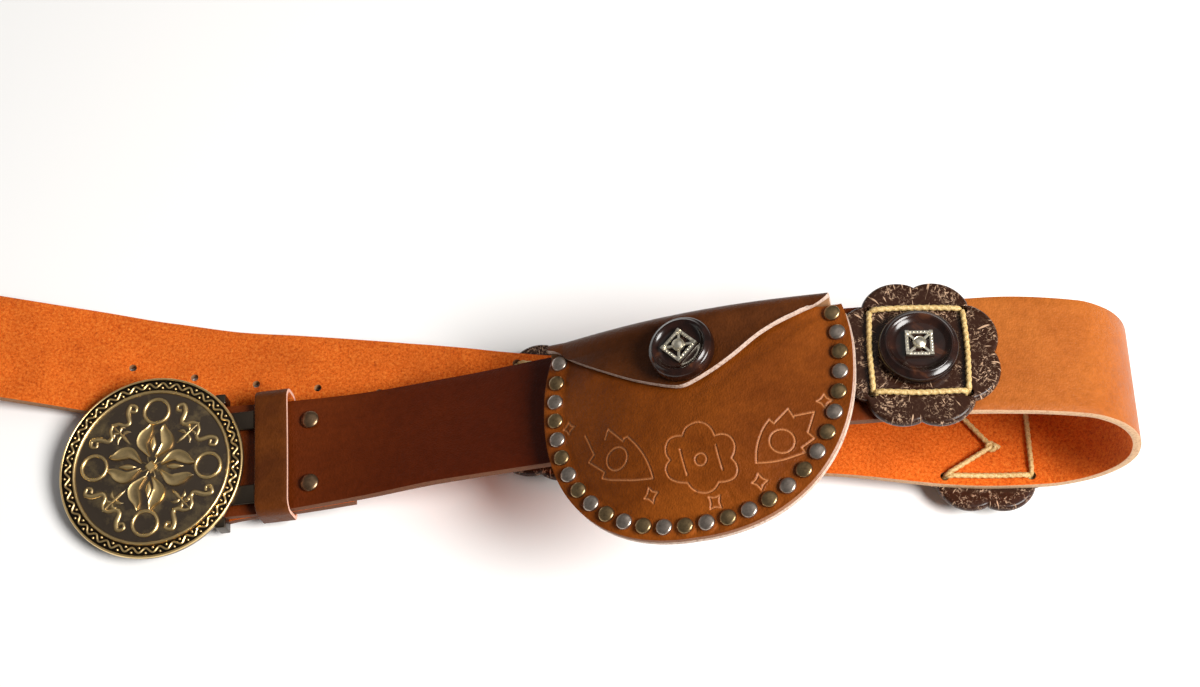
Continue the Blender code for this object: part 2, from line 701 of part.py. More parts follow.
def make_lashing(name, route, place, axes, plate_top, parts, cutters):
    """Cord drawn in a square through four holes, on the plate and behind the strap."""
    inset = CORD_RADIUS * 0.6
    front = plate_top + CLEARANCE + CORD_RADIUS
    rings, corners = [], lash_corners()
    for collection in (parts, cutters):
        points = []
        for (x, y), (next_x, next_y) in zip(corners, corners[1:] + corners[:1]):
            dx, dy = math.copysign(1, next_x - x) * (next_x != x), math.copysign(1, next_y - y) * (next_y != y)
            run = [(x + dx * inset, y + dy * inset), (next_x - dx * inset, next_y - dy * inset)]
            if collection is parts:
                points += [(run_x, run_y, front) for run_x, run_y in run]
                continue
            run.insert(1, ((x + next_x) / 2, (y + next_y) / 2))
            for run_x, run_y in run:
                behind = strap_behind(route, place, axes, run_x, run_y) - CLEARANCE - CORD_RADIUS
                points.append((run_x, run_y, behind))
        ring = wire_object(name, points, CORD_RADIUS, collection, closed=True)
        ring.matrix_world = axes
        rings.append(ring)
    finish_object(rings[0], "flat_cord")
    add_boolean(rings[0], as_cutter(rings[1]), "UNION")
    for x, y in corners:
        x, y = x - math.copysign(inset * 0.3, x), y - math.copysign(inset * 0.3, y)
        behind = strap_behind(route, place, axes, x, y) - CLEARANCE - CORD_RADIUS
        leg = round_rod(name + "_leg", CORD_RADIUS, front - behind, 6, cutters)
        leg.matrix_world = axes @ Matrix.Translation((x, y, (front + behind) / 2))
        add_boolean(rings[0], as_cutter(leg), "UNION")


def make_flower(name, place, route, parts, cutters):
    distance, shift, turn = place
    foot = STRAP_THICKNESS / 2 + CLEARANCE
    on_strap = route.matrix(distance, shift, 0.0, turn)
    plate = outline_plate(name, plate_outline(), PLATE_THICKNESS, parts, "coconut_shell")
    plate.matrix_world = on_strap @ Matrix.Translation((0, 0, foot))
    for x, y in lash_corners():
        punch = round_rod(name + "_punch", LASH_HOLE_RADIUS, PLATE_THICKNESS * 3, 6, cutters)
        punch.matrix_world = plate.matrix_world @ Matrix.Translation((x, y, PLATE_THICKNESS / 2))
        add_boolean(plate, as_cutter(punch), "DIFFERENCE")
    top = foot + PLATE_THICKNESS
    number = name[-1]
    make_lashing(f"lashing_cord_{number}", route, place, on_strap, top, parts, cutters)
    button = turned_object(f"flower_button_{number}", button_profile(BUTTON_RADIUS, BUTTON_HEIGHT), 16,
                           parts, "horn_button")
    button.matrix_world = on_strap @ Matrix.Translation((0, 0, top + CLEARANCE))
    seat = top + CLEARANCE * 2 + BUTTON_HEIGHT - BUTTON_DISH
    make_ornament(f"flower_ornament_{number}", ORNAMENT_SIZE, ORNAMENT_HEIGHT,
                  on_strap @ Matrix.Translation((0, 0, seat)), parts, cutters)


# Pouch, in axes on the strap: right, across towards the far side, and out

BACK_INSIDE = STRAP_THICKNESS / 2 + CLEARANCE + POUCH_WALL
FRONT_EDGE = BACK_INSIDE + CLEARANCE + POUCH_WALL
POUCH_MIDDLE = (0.0, -0.30 * POUCH_DEPTH)


def side_width(rise, half_width, depth):
    """Half width of the pouch at a height, widest at the strap's middle."""
    if rise >= 0:
        return half_width * (1 - 0.05 * (rise / POUCH_RISE) ** 2)
    share = min(1.0, -rise / depth)
    return half_width * (1 - share ** POUCH_ROUNDNESS) ** (1 / POUCH_ROUNDNESS)


def pouch_outline(inset, count):
    """Points down the left side, round the bottom and up the right side."""
    half_width, depth = POUCH_HALF_WIDTH - inset, POUCH_DEPTH - inset
    left = []
    top = POUCH_RISE - inset * 0.8
    for i in range(12):
        rise = top * (1 - i / 12)
        left.append((-side_width(rise, half_width, depth), rise))
    for i in range(60):
        turn = math.pi / 2 * i / 60
        power = 2 / POUCH_ROUNDNESS
        left.append((-half_width * math.cos(turn) ** power, -depth * math.sin(turn) ** power))
    points = left + [(0.0, -depth)] + [(-x, y) for x, y in left[::-1]]
    lengths = [0.0]
    for (x0, y0), (x1, y1) in zip(points, points[1:]):
        lengths.append(lengths[-1] + math.hypot(x1 - x0, y1 - y0))
    wanted = np.linspace(0.0, lengths[-1], count)
    xs = np.interp(wanted, lengths, [p[0] for p in points])
    ys = np.interp(wanted, lengths, [p[1] for p in points])
    return list(zip(xs.tolist(), ys.tolist()))


def edge_table():
    """Angle and radius of the whole outline seen from the pouch's middle."""
    rim = pouch_outline(0.0, 90)
    top_left, top_right = rim[0], rim[-1]
    for i in range(1, 30):
        share = i / 30
        rim.append((top_right[0] + (top_left[0] - top_right[0]) * share, top_left[1]))
    mx, my = POUCH_MIDDLE
    polar = sorted((math.atan2(y - my, x - mx), math.hypot(x - mx, y - my)) for x, y in rim)
    return [p[0] for p in polar], [p[1] for p in polar]


EDGE_ANGLES, EDGE_RADII = edge_table()


def edge_radius(angle):
    return float(np.interp(angle, EDGE_ANGLES, EDGE_RADII, period=2 * math.pi))


def smooth_step(value):
    value = min(1.0, max(0.0, value))
    return value * value * (3 - 2 * value)


def front_height(x, y):
    """Outer face of the front panel: flat round the edge, domed, open at the mouth."""
    mx, my = POUCH_MIDDLE
    share = math.hypot(x - mx, y - my) / edge_radius(math.atan2(y - my, x - mx))
    dome = (1 - min(1.0, share / 0.88) ** 2) ** 1.2 if share < 0.88 else 0.0
    mouth = 0.85 * max(0.0, 1 - (x / (POUCH_HALF_WIDTH * 0.86)) ** 2) * smooth_step((y + 0.012) / 0.030)
    return FRONT_EDGE + POUCH_BULGE * (1 - (1 - dome) * (1 - mouth))


def make_pouch_front(axes, parts):
    rings = (0.02, 0.34, 0.62, 0.80, 0.885, 1.0)
    mx, my = POUCH_MIDDLE
    corner = math.atan2(POUCH_RISE - my, side_width(POUCH_RISE, POUCH_HALF_WIDTH, POUCH_DEPTH))
    angles = [*np.linspace(corner, math.pi - corner, FRONT_TOP_STEPS + 1)[:-1],
              *np.linspace(math.pi - corner, 2 * math.pi + corner, FRONT_SIDE_STEPS + 1)[:-1]]
    rows = []
    for angle in angles:
        radius = edge_radius(angle if angle <= math.pi else angle - 2 * math.pi)
        row = []
        for share in rings:
            x, y = mx + radius * share * math.cos(angle), my + radius * share * math.sin(angle)
            row.append((x, y, front_height(x, y)))
        rows.append(row)
    mesh = grid_mesh("pouch_front", rows, closed_rows=True)
    work = bmesh.new()
    work.from_mesh(mesh)
    rim = [v for v in work.verts if math.hypot(v.co.x - mx, v.co.y - my) < 0.05 * POUCH_DEPTH]
    bmesh.ops.contextual_create(work, geom=rim)
    bmesh.ops.recalc_face_normals(work, faces=work.faces)
    if sum(face.normal.z for face in work.faces) < 0:
        bmesh.ops.reverse_faces(work, faces=work.faces)
    work.to_mesh(mesh)
    work.free()
    front = add_object("pouch_front", mesh, parts, "pouch_leather")
    add_solidify(front, POUCH_WALL, -1.0)
    front.matrix_world = axes
    return front


def flap_edge(x):
    """Lower edge of the flap: a point under the button, swept up to both sides."""
    share = min(1.0, abs(x) / FLAP_HALF_WIDTH)
    return -FLAP_DROP + (FOLD_RISE - 0.0012 + FLAP_DROP) * share ** 1.25


def flap_height(x, y):
    return front_height(x, min(y, POUCH_RISE)) + FLAP_EASE


def make_pouch_back(axes, parts):
    """Back panel, fold and flap: one leather, drawn as its inner face."""
    columns = [i / 5 for i in range(-5, 6)]
    rows = []
    power = 2 / POUCH_ROUNDNESS
    for degrees in (84, 72, 58, 44, 30, 15):
        turn = math.radians(degrees)
        y = -POUCH_DEPTH * math.sin(turn) ** power
        half = POUCH_HALF_WIDTH * math.cos(turn) ** power
        rows.append([(u * half, y, BACK_INSIDE) for u in columns])
    for share in (0.0, 0.5, 0.92):
        y = FOLD_RISE * share
        half = side_width(y, POUCH_HALF_WIDTH, POUCH_DEPTH)
        rows.append([(u * half, y, BACK_INSIDE) for u in columns])
    for step in range(1, 6):
        turn = math.pi * step / 6
        row = []
        for u in columns:
            x = u * FLAP_HALF_WIDTH
            top = flap_height(x, FOLD_RISE)
            middle, radius = (BACK_INSIDE + top) / 2, (top - BACK_INSIDE) / 2
            row.append((x, FOLD_RISE + FOLD_REACH * math.sin(turn), middle - radius * math.cos(turn)))
        rows.append(row)
    for share in (0.0, 0.25, 0.5, 0.75, 1.0):
        row = []
        for u in columns:
            x = u * FLAP_HALF_WIDTH
            y = FOLD_RISE + (flap_edge(x) - FOLD_RISE) * share
            row.append((x, y, flap_height(x, y)))
        rows.append(row)
    back = add_object("pouch_back_flap", grid_mesh("pouch_back_flap", rows), parts, "pouch_leather")
    add_solidify(back, POUCH_WALL, -1.0)
    back.matrix_world = axes


def make_belt_loop(axes, parts):
    """A hidden band behind the pouch that holds the strap against its back."""
    outer = STRAP_WIDTH / 2 + CLEARANCE * 2 + abs(POUCH_SHIFT)
    top = BACK_INSIDE - POUCH_WALL - CLEARANCE
    tilt_drop = LOOP_BAND_WIDTH / 2 * math.sin(math.radians(POUCH_TILT))
    low = -(STRAP_THICKNESS / 2 + POUCH_LIFT + tilt_drop + LOOP_BAND_SLACK)
    corner = 0.0015
    side = ((outer, top), (outer, low + corner), (outer - corner, low))
    path = [*side, *((-y, z) for y, z in side[::-1])]
    half = LOOP_BAND_WIDTH / 2
    rows = [[(x, y, z) for x in (-half, 0.0, half)] for y, z in path]
    band = add_object("pouch_belt_loop", grid_mesh("pouch_belt_loop", rows), parts, "pouch_leather")
    add_solidify(band, LOOP_BAND_WALL, 1.0)
    band.matrix_world = axes


def seat_height(panel, x, y, reach):
    """Highest point of a panel's face below a round foot."""
    heights = []
    for step in range(9):
        out = reach if step else 0.0
        start = Vector((x + out * math.cos(step * math.pi / 4), y + out * math.sin(step * math.pi / 4), 0.1))
        hit, place, normal, index = panel.ray_cast(start, Vector((0, 0, -1)))
        if hit:
            heights.append(place.z)
    return max(heights)


def make_studs(axes, front, parts):
    profile = ((0.0, STUD_HEIGHT), (STUD_RADIUS * 0.68, STUD_HEIGHT * 0.74), (STUD_RADIUS, 0.0), (0.0, 0.0))
    places = pouch_outline(STUD_INSET, STUD_COUNT)
    bpy.context.view_layer.update()
    panel = front.evaluated_get(bpy.context.evaluated_depsgraph_get())
    for number, (x, y) in enumerate(places, start=1):
        finish = "nickel" if number % 2 else "antique_brass"
        stud = turned_object(f"pouch_stud_{number:02d}", profile, 8, parts, finish)
        seat = seat_height(panel, x, y, STUD_RADIUS)
        stud.matrix_world = axes @ Matrix.Translation((x, y, seat + CLEARANCE))


def make_flap_button(axes, parts, cutters):
    y = FLAP_BUTTON_ACROSS
    reach = FLAP_BUTTON_RADIUS
    top = max(flap_height(dx, y + dy) for dx in (-reach, 0, reach) for dy in (-reach, 0, reach))
    foot = top + POUCH_WALL + CLEARANCE
    button = turned_object("flap_button", button_profile(reach, BUTTON_HEIGHT), 16, parts, "horn_button")
    button.matrix_world = axes @ Matrix.Translation((0, y, foot))
    on_button = (axes @ Matrix.Translation((0, y, foot + CLEARANCE + BUTTON_HEIGHT - BUTTON_DISH))
                 @ Matrix.Rotation(math.pi / 4, 4, "Z"))
    make_ornament("flap_ornament", ORNAMENT_SIZE, ORNAMENT_HEIGHT, on_button, parts, cutters)


def make_pouch(route, parts, cutters):
    axes = (route.matrix(POUCH_PLACE * FOLDED_LENGTH, POUCH_SHIFT, POUCH_LIFT)
            @ Matrix.Rotation(math.radians(-POUCH_TILT), 4, "Y"))
    make_belt_loop(axes, parts)
    make_pouch_back(axes, parts)
    front = make_pouch_front(axes, parts)
    make_studs(axes, front, parts)
    make_flap_button(axes, parts, cutters)


def centre_on_table(parts, cutters):
    """Hang every object on one empty, with the middle of the belt's foot at the origin."""
    bpy.context.view_layer.update()
    depsgraph = bpy.context.evaluated_depsgraph_get()
    low, high = Vector((9, 9, 9)), Vector((-9, -9, -9))
    for obj in parts.objects:
        evaluated = obj.evaluated_get(depsgraph)
        for vertex in evaluated.data.vertices:
            point = evaluated.matrix_world @ vertex.co
            low = Vector(map(min, low, point))
            high = Vector(map(max, high, point))
    shift = Vector((-(low.x + high.x) / 2, -(low.y + high.y) / 2, -low.z))
    for obj in [*parts.objects, *cutters.objects]:
        obj.matrix_world = Matrix.Translation(shift) @ obj.matrix_world
    origin = bpy.data.objects.new("loop_outer_end", None)
    origin.location = shift
    parts.objects.link(origin)


def main():
    clear_scene()
    parts = make_collection(COLLECTION_NAME)
    cutters = make_collection(COLLECTION_NAME + "_cutters")
    route = Route(route_keys())
    make_strap(route, parts, cutters)
    make_keeper(route, parts)
    make_rivets(route, parts)
    make_buckle(route, parts, cutters)
    make_pouch(route, parts, cutters)
    for name, (share, shift, turn) in FLOWER_PLACES.items():
        make_flower(name, (share * FOLDED_LENGTH, shift, turn), route, parts, cutters)
    centre_on_table(parts, cutters)


main()
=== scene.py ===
import math

import bmesh
import bpy
import numpy as np
from mathutils import Matrix, Vector, noise


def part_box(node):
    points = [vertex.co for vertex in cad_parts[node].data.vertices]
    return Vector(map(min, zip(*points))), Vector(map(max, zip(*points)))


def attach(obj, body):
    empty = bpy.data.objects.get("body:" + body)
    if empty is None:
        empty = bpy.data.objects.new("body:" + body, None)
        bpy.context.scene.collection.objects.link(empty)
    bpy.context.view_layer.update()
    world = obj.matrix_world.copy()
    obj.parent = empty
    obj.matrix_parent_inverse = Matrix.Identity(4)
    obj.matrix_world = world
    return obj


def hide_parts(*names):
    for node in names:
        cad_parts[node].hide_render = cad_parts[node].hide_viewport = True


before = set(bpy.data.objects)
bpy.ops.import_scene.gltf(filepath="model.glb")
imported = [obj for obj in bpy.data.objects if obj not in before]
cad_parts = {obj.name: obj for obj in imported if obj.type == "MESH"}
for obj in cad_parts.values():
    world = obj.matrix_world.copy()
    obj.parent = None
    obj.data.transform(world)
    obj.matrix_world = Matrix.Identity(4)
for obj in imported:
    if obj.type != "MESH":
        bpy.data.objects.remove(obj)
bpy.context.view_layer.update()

# Camera, table and light. The belt was photographed from 63 degrees above the table on
# plain white, with a low soft light from the right and little fill.

LOOP_OUTER_END = Vector((0.234745, -0.000175, 0.00011))
picture_centre = LOOP_OUTER_END + Vector((-0.1952, 0.0477, 0.0))
camera_data = bpy.data.cameras.new("camera")
camera_data.lens, camera_data.sensor_width = 55.41, 36.0
camera_data.clip_start, camera_data.clip_end = 0.05, 20.0
camera = bpy.data.objects.new("camera", camera_data)
camera.location = picture_centre + Vector((0.0, -0.3405, 0.6683))
camera.rotation_euler = (math.radians(27.0), 0.0, 0.0)
bpy.context.collection.objects.link(camera)
bpy.context.scene.camera = camera
bpy.context.scene.view_settings.view_transform = "Standard"


def new_material(name, roughness, **settings):
    """A material, with what is the same all over its surface set on the shader itself."""
    material = bpy.data.materials.new(name)
    material.use_nodes = True
    shader = material.node_tree.nodes["Principled BSDF"]
    for setting, value in {"Roughness": roughness, **settings}.items():
        shader.inputs[setting.replace("_", " ")].default_value = value
    return material, material.node_tree, shader


bpy.ops.mesh.primitive_plane_add(size=6.0)
table = bpy.context.object
table.name = "table"
table_paint, tree, shader = new_material("table_paint", 0.9, Base_Color=(0.94, 0.94, 0.94, 1),
                                         Specular_IOR_Level=0.0)
table.data.materials.append(table_paint)


def soft_lamp(name, place, aim, size, power, colour):
    lamp = bpy.data.lights.new(name, "AREA")
    lamp.shape, lamp.size, lamp.energy, lamp.color = "DISK", size, power, colour
    holder = bpy.data.objects.new(name, lamp)
    holder.location = place
    holder.rotation_euler = (Vector(aim) - Vector(place)).to_track_quat("-Z", "Y").to_euler()
    bpy.context.collection.objects.link(holder)


soft_lamp("window_light", (0.98, -0.42, 1.14), (0.0, 0.0, 0.02), 0.80, 40.0, (1.0, 0.98, 0.95))
soft_lamp("ceiling_light", (-0.2, 0.7, 1.6), (0.0, 0.0, 0.0), 1.5, 2.0, (1.0, 0.98, 0.96))
world = bpy.data.worlds.new("room")
world.use_nodes = True
world.node_tree.nodes["Background"].inputs["Color"].default_value = (1.0, 0.97, 0.94, 1)
world.node_tree.nodes["Background"].inputs["Strength"].default_value = 0.15
bpy.context.scene.world = world

# Strap. One leather strap, 45 mm wide and 3 mm thick: smooth grain on one side, orange
# suede on the other, pale cut edges. It is folded in two over itself, and its end is
# folded round the buckle's bar.

FOLDED_LENGTH, PLAN_SPREAD = 0.470, 0.050
STRAP_WIDTH, STRAP_THICKNESS = 0.045, 0.003
LYING, FLOWER_STACK = 0.0015, 0.0117
LOOP_HEIGHT, LOOP_REACH, LOOP_SPREAD = 0.0703, 0.048, (0.034, 0.0, 0.018)
PROPPED = LYING + FLOWER_STACK
RAISED = PROPPED + LOOP_HEIGHT
BAR_WRAP = 0.0034
GAP = 0.0003  # left between pieces that lie on one another
BAR_LEVEL = BAR_WRAP + 0.0018 + 0.00196
# Reach left of the loop, spread across, prop on the flowers, roll
TONGUE_ROWS = (
    (1.000, 0.900, 1.10, -3.0), (0.917, 0.810, 0.67, -3.0), (0.845, 0.734, 0.26, -2.5),
    (0.787, 0.654, 0.00, 0.0), (0.734, 0.580, 0.00, 0.0), (0.672, 0.520, 0.17, 0.0),
    (0.585, 0.400, 0.63, 0.0), (0.513, 0.294, 1.00, 0.0), (0.451, 0.242, 1.00, 0.0),
    (0.351, 0.188, 1.00, 0.0), (0.220, 0.134, 1.00, 0.0),
)
# Reach, spread, rise as a share of the loop's top, roll
POUCH_ROWS = (
    (0.149, 0.004, 1.000, -3.0), (0.222, -0.042, 0.970, -1.5), (0.341, -0.050, 0.771, -2.0),
    (0.458, -0.054, 0.512, -4.5), (0.537, -0.066, 0.341, -7.0), (0.613, -0.114, 0.215, -4.0),
    (0.666, -0.150, 0.160, 1.0), (0.696, -0.170, 0.138, 4.0),
)


def strap_keys():
    keys = [(-reach * FOLDED_LENGTH, spread * PLAN_SPREAD, LYING + prop * FLOWER_STACK, roll)
            for reach, spread, prop, roll in TONGUE_ROWS]
    fine = np.linspace(0.0, math.pi, 401)
    climb = np.concatenate(([0.0], np.cumsum(np.sqrt(np.abs(np.sin((fine[1:] + fine[:-1]) / 2))))))
    for angle in np.linspace(0.0, math.pi, 13):
        height = float(np.interp(angle, fine, climb) / climb[-1])
        spread = float(np.interp(height, (0.0, 0.5, 1.0), LOOP_SPREAD))
        keys.append((-LOOP_REACH * (1 - math.sqrt(abs(math.sin(angle)))), spread * PLAN_SPREAD,
                     PROPPED + LOOP_HEIGHT * height, 0.0))
    keys += [(-reach * FOLDED_LENGTH, spread * PLAN_SPREAD, rise * RAISED, roll)
             for reach, spread, rise, roll in POUCH_ROWS]
    keys.append((-0.726 * FOLDED_LENGTH, -0.190 * PLAN_SPREAD, BAR_LEVEL + BAR_WRAP, 5.0))
    return np.array(keys)


class StrapLine:
    """The strap's middle line, read by distance from the tip of its tongue."""

    def __init__(self, keys):
        self.keys = keys
        steps = np.linalg.norm(np.diff(keys[:, :3], axis=0), axis=1)
        self.at = np.concatenate(([0.0], np.cumsum(steps)))
        self.slopes = np.array([self.steady(column) for column in keys.T]).T
        self.fine = np.linspace(0.0, self.at[-1], 1500)
        places = np.array([self.read(where)[:3] for where in self.fine])
        lengths = np.linalg.norm(np.diff(places, axis=0), axis=1)
        self.lengths = np.concatenate(([0.0], np.cumsum(lengths)))
        self.loop_end = float(self.lengths[np.argmax(places[:, 0])])
        self.length = float(self.lengths[-1])

    def steady(self, values):
        step = np.diff(self.at)
        secant = np.diff(values) / step
        slopes = np.zeros(len(values))
        slopes[0], slopes[-1] = secant[0], secant[-1]
        for i in range(1, len(values) - 1):
            if secant[i - 1] * secant[i] > 0:
                before, after = 2 * step[i] + step[i - 1], step[i] + 2 * step[i - 1]
                slopes[i] = (before + after) / (before / secant[i - 1] + after / secant[i])
        return slopes

    def read(self, where):
        i = min(max(int(np.searchsorted(self.at, where)) - 1, 0), len(self.at) - 2)
        step = self.at[i + 1] - self.at[i]
        t = (where - self.at[i]) / step
        rise = 3 * t ** 2 - 2 * t ** 3
        return ((1 - rise) * self.keys[i] + rise * self.keys[i + 1]
                + (t ** 3 - 2 * t ** 2 + t) * step * self.slopes[i]
                + (t ** 3 - t ** 2) * step * self.slopes[i + 1])

    def frame(self, distance):
        """Place, and the ways along, across and out of the grain side."""
        where = float(np.interp(distance, self.lengths, self.fine))
        found = self.read(where)
        ahead = Vector(self.read(min(where + 0.0004, self.at[-1]))[:3])
        behind = Vector(self.read(max(where - 0.0004, 0.0))[:3])
        along = (ahead - behind).normalized()
        level = Vector((0.0, 1.0, 0.0))
        across = (level - along * level.dot(along)).normalized()
        grain = across.cross(along)
        roll = math.radians(found[3]) * (1.0 if grain.z > 0 else -1.0)
        across, grain = (across * math.cos(roll) + grain * math.sin(roll),
                         grain * math.cos(roll) - across * math.sin(roll))
        return LOOP_OUTER_END + Vector(found[:3]), along, across, grain

    def axes(self, from_loop, shift=0.0, height=0.0, turn=0.0):
        place, along, across, grain = self.frame(self.loop_end + from_loop)
        turned = Matrix((across.cross(grain), across, grain)).transposed().to_4x4()
        return (Matrix.Translation(place + across * shift + grain * height) @ turned
                @ Matrix.Rotation(math.radians(turn), 4, "Z"))


line = StrapLine(strap_keys())


def strip_mesh(name, rows, uvs=None, closed=False):
    """A mesh skin through rows of points that all have one length."""
    width, count = len(rows[0]), len(rows)
    mesh = bpy.data.meshes.new(name)
    faces = [(i * width + j, i * width + j + 1, (i + 1) % count * width + j + 1, (i + 1) % count * width + j)
             for i in range(count if closed else count - 1) for j in range(width - 1)]
    mesh.from_pydata([tuple(point) for row in rows for point in row], [], faces)
    if uvs is not None:
        flat = [uv for row in uvs for uv in row]
        layer = mesh.uv_layers.new(name="lay")
        for loop in mesh.loops:
            layer.data[loop.index].uv = flat[loop.vertex_index]
    return mesh


def mesh_from(work, name):
    mesh = bpy.data.meshes.new(name)
    work.to_mesh(mesh)
    work.free()
    return mesh


def closed_mesh(mesh, merge=None):
    """Merges a mesh's seams and poles, or fills its ends, and turns its faces outwards."""
    work = bmesh.new()
    work.from_mesh(mesh)
    if merge:
        bmesh.ops.remove_doubles(work, verts=work.verts, dist=merge)
    else:
        bmesh.ops.holes_fill(work, edges=[e for e in work.edges if e.is_boundary])
    bmesh.ops.recalc_face_normals(work, faces=work.faces)
    work.to_mesh(mesh)
    work.free()
    return mesh


def held_object(name, mesh, materials=()):
    obj = bpy.data.objects.new(name, mesh)
    bpy.context.collection.objects.link(obj)
    for material in materials:
        mesh.materials.append(material)
    return obj


def wall(obj, thickness, offset, other=0, rim=0):
    solid = obj.modifiers.new("wall", "SOLIDIFY")
    solid.thickness, solid.offset, solid.use_even_offset = thickness, offset, True
    solid.material_offset, solid.material_offset_rim = other, rim


def eased_edges(obj, width, segments=2, finish=-1):
    bevel = obj.modifiers.new("eased", "BEVEL")
    bevel.material = finish
    bevel.width, bevel.segments, bevel.limit_method = width, segments, "ANGLE"
    bevel.angle_limit = math.radians(50)


def drilled(obj, cutter, how="INDEX"):
    cut = obj.modifiers.new("drilled", "BOOLEAN")
    cut.object, cut.operation, cut.solver = cutter, "DIFFERENCE", "EXACT"
    cut.material_mode = how


def pins(name, places, segments, depth):
    """Round pins that cut the holes. Each place is a matrix and a radius."""
    work = bmesh.new()
    for matrix, radius in places:
        bmesh.ops.create_cone(work, cap_ends=True, segments=segments, radius1=radius, radius2=radius,
                              depth=depth, matrix=matrix)
    return mesh_from(work, name)


def evaluated_mesh(obj):
    """The object's mesh with its modifiers in it."""
    bpy.context.view_layer.update()
    return bpy.data.meshes.new_from_object(obj.evaluated_get(bpy.context.evaluated_depsgraph_get()))


def as_piece(obj, slot, *nodes, sharp=None):
    """Fixes the object's modifiers and place in its mesh, and hands the piece over."""
    mesh = evaluated_mesh(obj)
    mesh.transform(obj.matrix_world)
    obj.modifiers.clear()
    obj.data, obj.matrix_world = mesh, Matrix.Identity(4)
    mesh.shade_smooth()
    if sharp is not None:
        mesh.set_sharp_from_angle(angle=math.radians(sharp))
    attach(obj, "root")
    if nodes:
        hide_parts(*nodes)
    return obj


def put(tree, kind, links=(), **settings):
    """Adds a node. Settings name its properties or sockets, and links feed its sockets."""
    node = tree.nodes.new(kind)
    for key, value in settings.items():
        if hasattr(node, key):
            setattr(node, key, value)
        else:
            node.inputs[key.replace("_", " ")].default_value = value
    for socket, source in links:
        tree.links.new(source, node.inputs[socket])
    return node


def ramp(tree, source, stops):
    node = tree.nodes.new("ShaderNodeValToRGB")
    tree.links.new(source, node.inputs[0])
    elements = node.color_ramp.elements
    while len(elements) < len(stops):
        elements.new(0.5)
    for element, (at, colour) in zip(elements, stops):
        element.position = at
        element.color = (*colour, 1)
    return node.outputs["Color"]


def feed(tree, node, **sources):
    for name, source in sources.items():
        tree.links.new(source, node.inputs[name.replace("_", " ")])


def bump(tree, height, distance):
    return put(tree, "ShaderNodeBump", [("Height", height)], Distance=distance).outputs["Normal"]


def here(tree):
    return put(tree, "ShaderNodeTexCoord").outputs["Object"]


def laid_out(tree):
    """The piece's own map: how far along it and across it."""
    return put(tree, "ShaderNodeUVMap", uv_map="lay").outputs["UV"]


def along_x(tree, vector):
    return put(tree, "ShaderNodeSeparateXYZ", [("Vector", vector)]).outputs["X"]


def grainy(tree, place, scale, detail=2.0, rough=0.5, twist=0.0):
    """A noise from 0 to 1. Its scale is a number or a socket."""
    node = put(tree, "ShaderNodeTexNoise", [("Vector", place)], Detail=detail, Roughness=rough, Distortion=twist)
    if isinstance(scale, float):
        node.inputs["Scale"].default_value = scale
    else:
        tree.links.new(scale, node.inputs["Scale"])
    return node.outputs["Fac"]


def scaled(tree, value, low, high, least=0.0, most=1.0):
    return put(tree, "ShaderNodeMapRange", [("Value", value)], From_Min=low, From_Max=high, To_Min=least,
               To_Max=most).outputs["Result"]


def mixed(tree, first, second, how="MULTIPLY"):
    return put(tree, "ShaderNodeMixRGB", [("Color1", first), ("Color2", second)], blend_type=how,
               Fac=1.0).outputs["Color"]


def grey(tree, value):
    return put(tree, "ShaderNodeCombineColor", [(channel, value) for channel in ("Red", "Green", "Blue")]
               ).outputs["Color"]


def new_group(name, inputs, outputs, kind="ShaderNodeTree"):
    group = bpy.data.node_groups.new(name, kind)
    for in_out, sockets in (("INPUT", inputs), ("OUTPUT", outputs)):
        for label, socket in sockets:
            group.interface.new_socket(name=label, in_out=in_out, socket_type="NodeSocket" + socket)
    return group, group.nodes.new("NodeGroupInput").outputs, group.nodes.new("NodeGroupOutput")


SURFACE = [("Color", "Color"), ("Roughness", "Float"), ("Height", "Float")]

# Smooth hide: dye clouds, fine flecks of dye and pores
hide, given, hide_out = new_group("smooth_hide", [
    ("Tone", "Color"), ("Deep", "Color"), ("Clouds", "Float"), ("Pores", "Float"), ("Gloss", "Float")], SURFACE)
place = here(hide)
fine_dye = grainy(hide, place, 420.0, 4.0, 0.7)
pores = put(hide, "ShaderNodeTexVoronoi", [("Vector", place), ("Scale", given["Pores"])])
cloud_share = scaled(hide, grainy(hide, place, given["Clouds"], 5.0, 0.6, 0.6), 0.32, 0.68)
dye = put(hide, "ShaderNodeMixRGB", [("Fac", cloud_share), ("Color1", given["Deep"]), ("Color2", given["Tone"])])
dull = put(hide, "ShaderNodeMath", [(0, fine_dye), (1, given["Gloss"])], operation="MULTIPLY_ADD")
dull.inputs[2].default_value = 0.18
skin = put(hide, "ShaderNodeMath", [(0, pores.outputs["Distance"]), (1, grainy(hide, place, 2400.0, 3.0))])
rough_skin = put(hide, "ShaderNodeMath", [(0, skin.outputs["Value"]), (1, fine_dye)])
flecks = grey(hide, scaled(hide, fine_dye, 0.3, 0.7, 0.84, 1.12))
feed(hide, hide_out, Color=mixed(hide, dye.outputs["Color"], flecks), Roughness=dull.outputs["Value"],
     Height=rough_skin.outputs["Value"])


def covered(name, group, values, relief, roughness, **settings):
    """A material whose colour, roughness and relief come from a shared effect."""
    material, tree, shader = new_material(name, roughness, **settings)
    effect = put(tree, "ShaderNodeGroup", node_tree=group)
    for label, value in values.items():
        effect.inputs[label].default_value = (*value, 1) if isinstance(value, tuple) else value
    feed(tree, shader, Base_Color=effect.outputs["Color"], Roughness=effect.outputs["Roughness"],
         Normal=bump(tree, effect.outputs["Height"], relief))
    return material, tree, effect


def hide_material(name, tone, deep, clouds=28.0, pores=1300.0, gloss=0.5):
    values = {"Tone": tone, "Deep": deep, "Clouds": clouds, "Pores": pores, "Gloss": gloss}
    return covered(name, hide, values, 0.00010, 0.45, Specular_IOR_Level=0.16)[0]


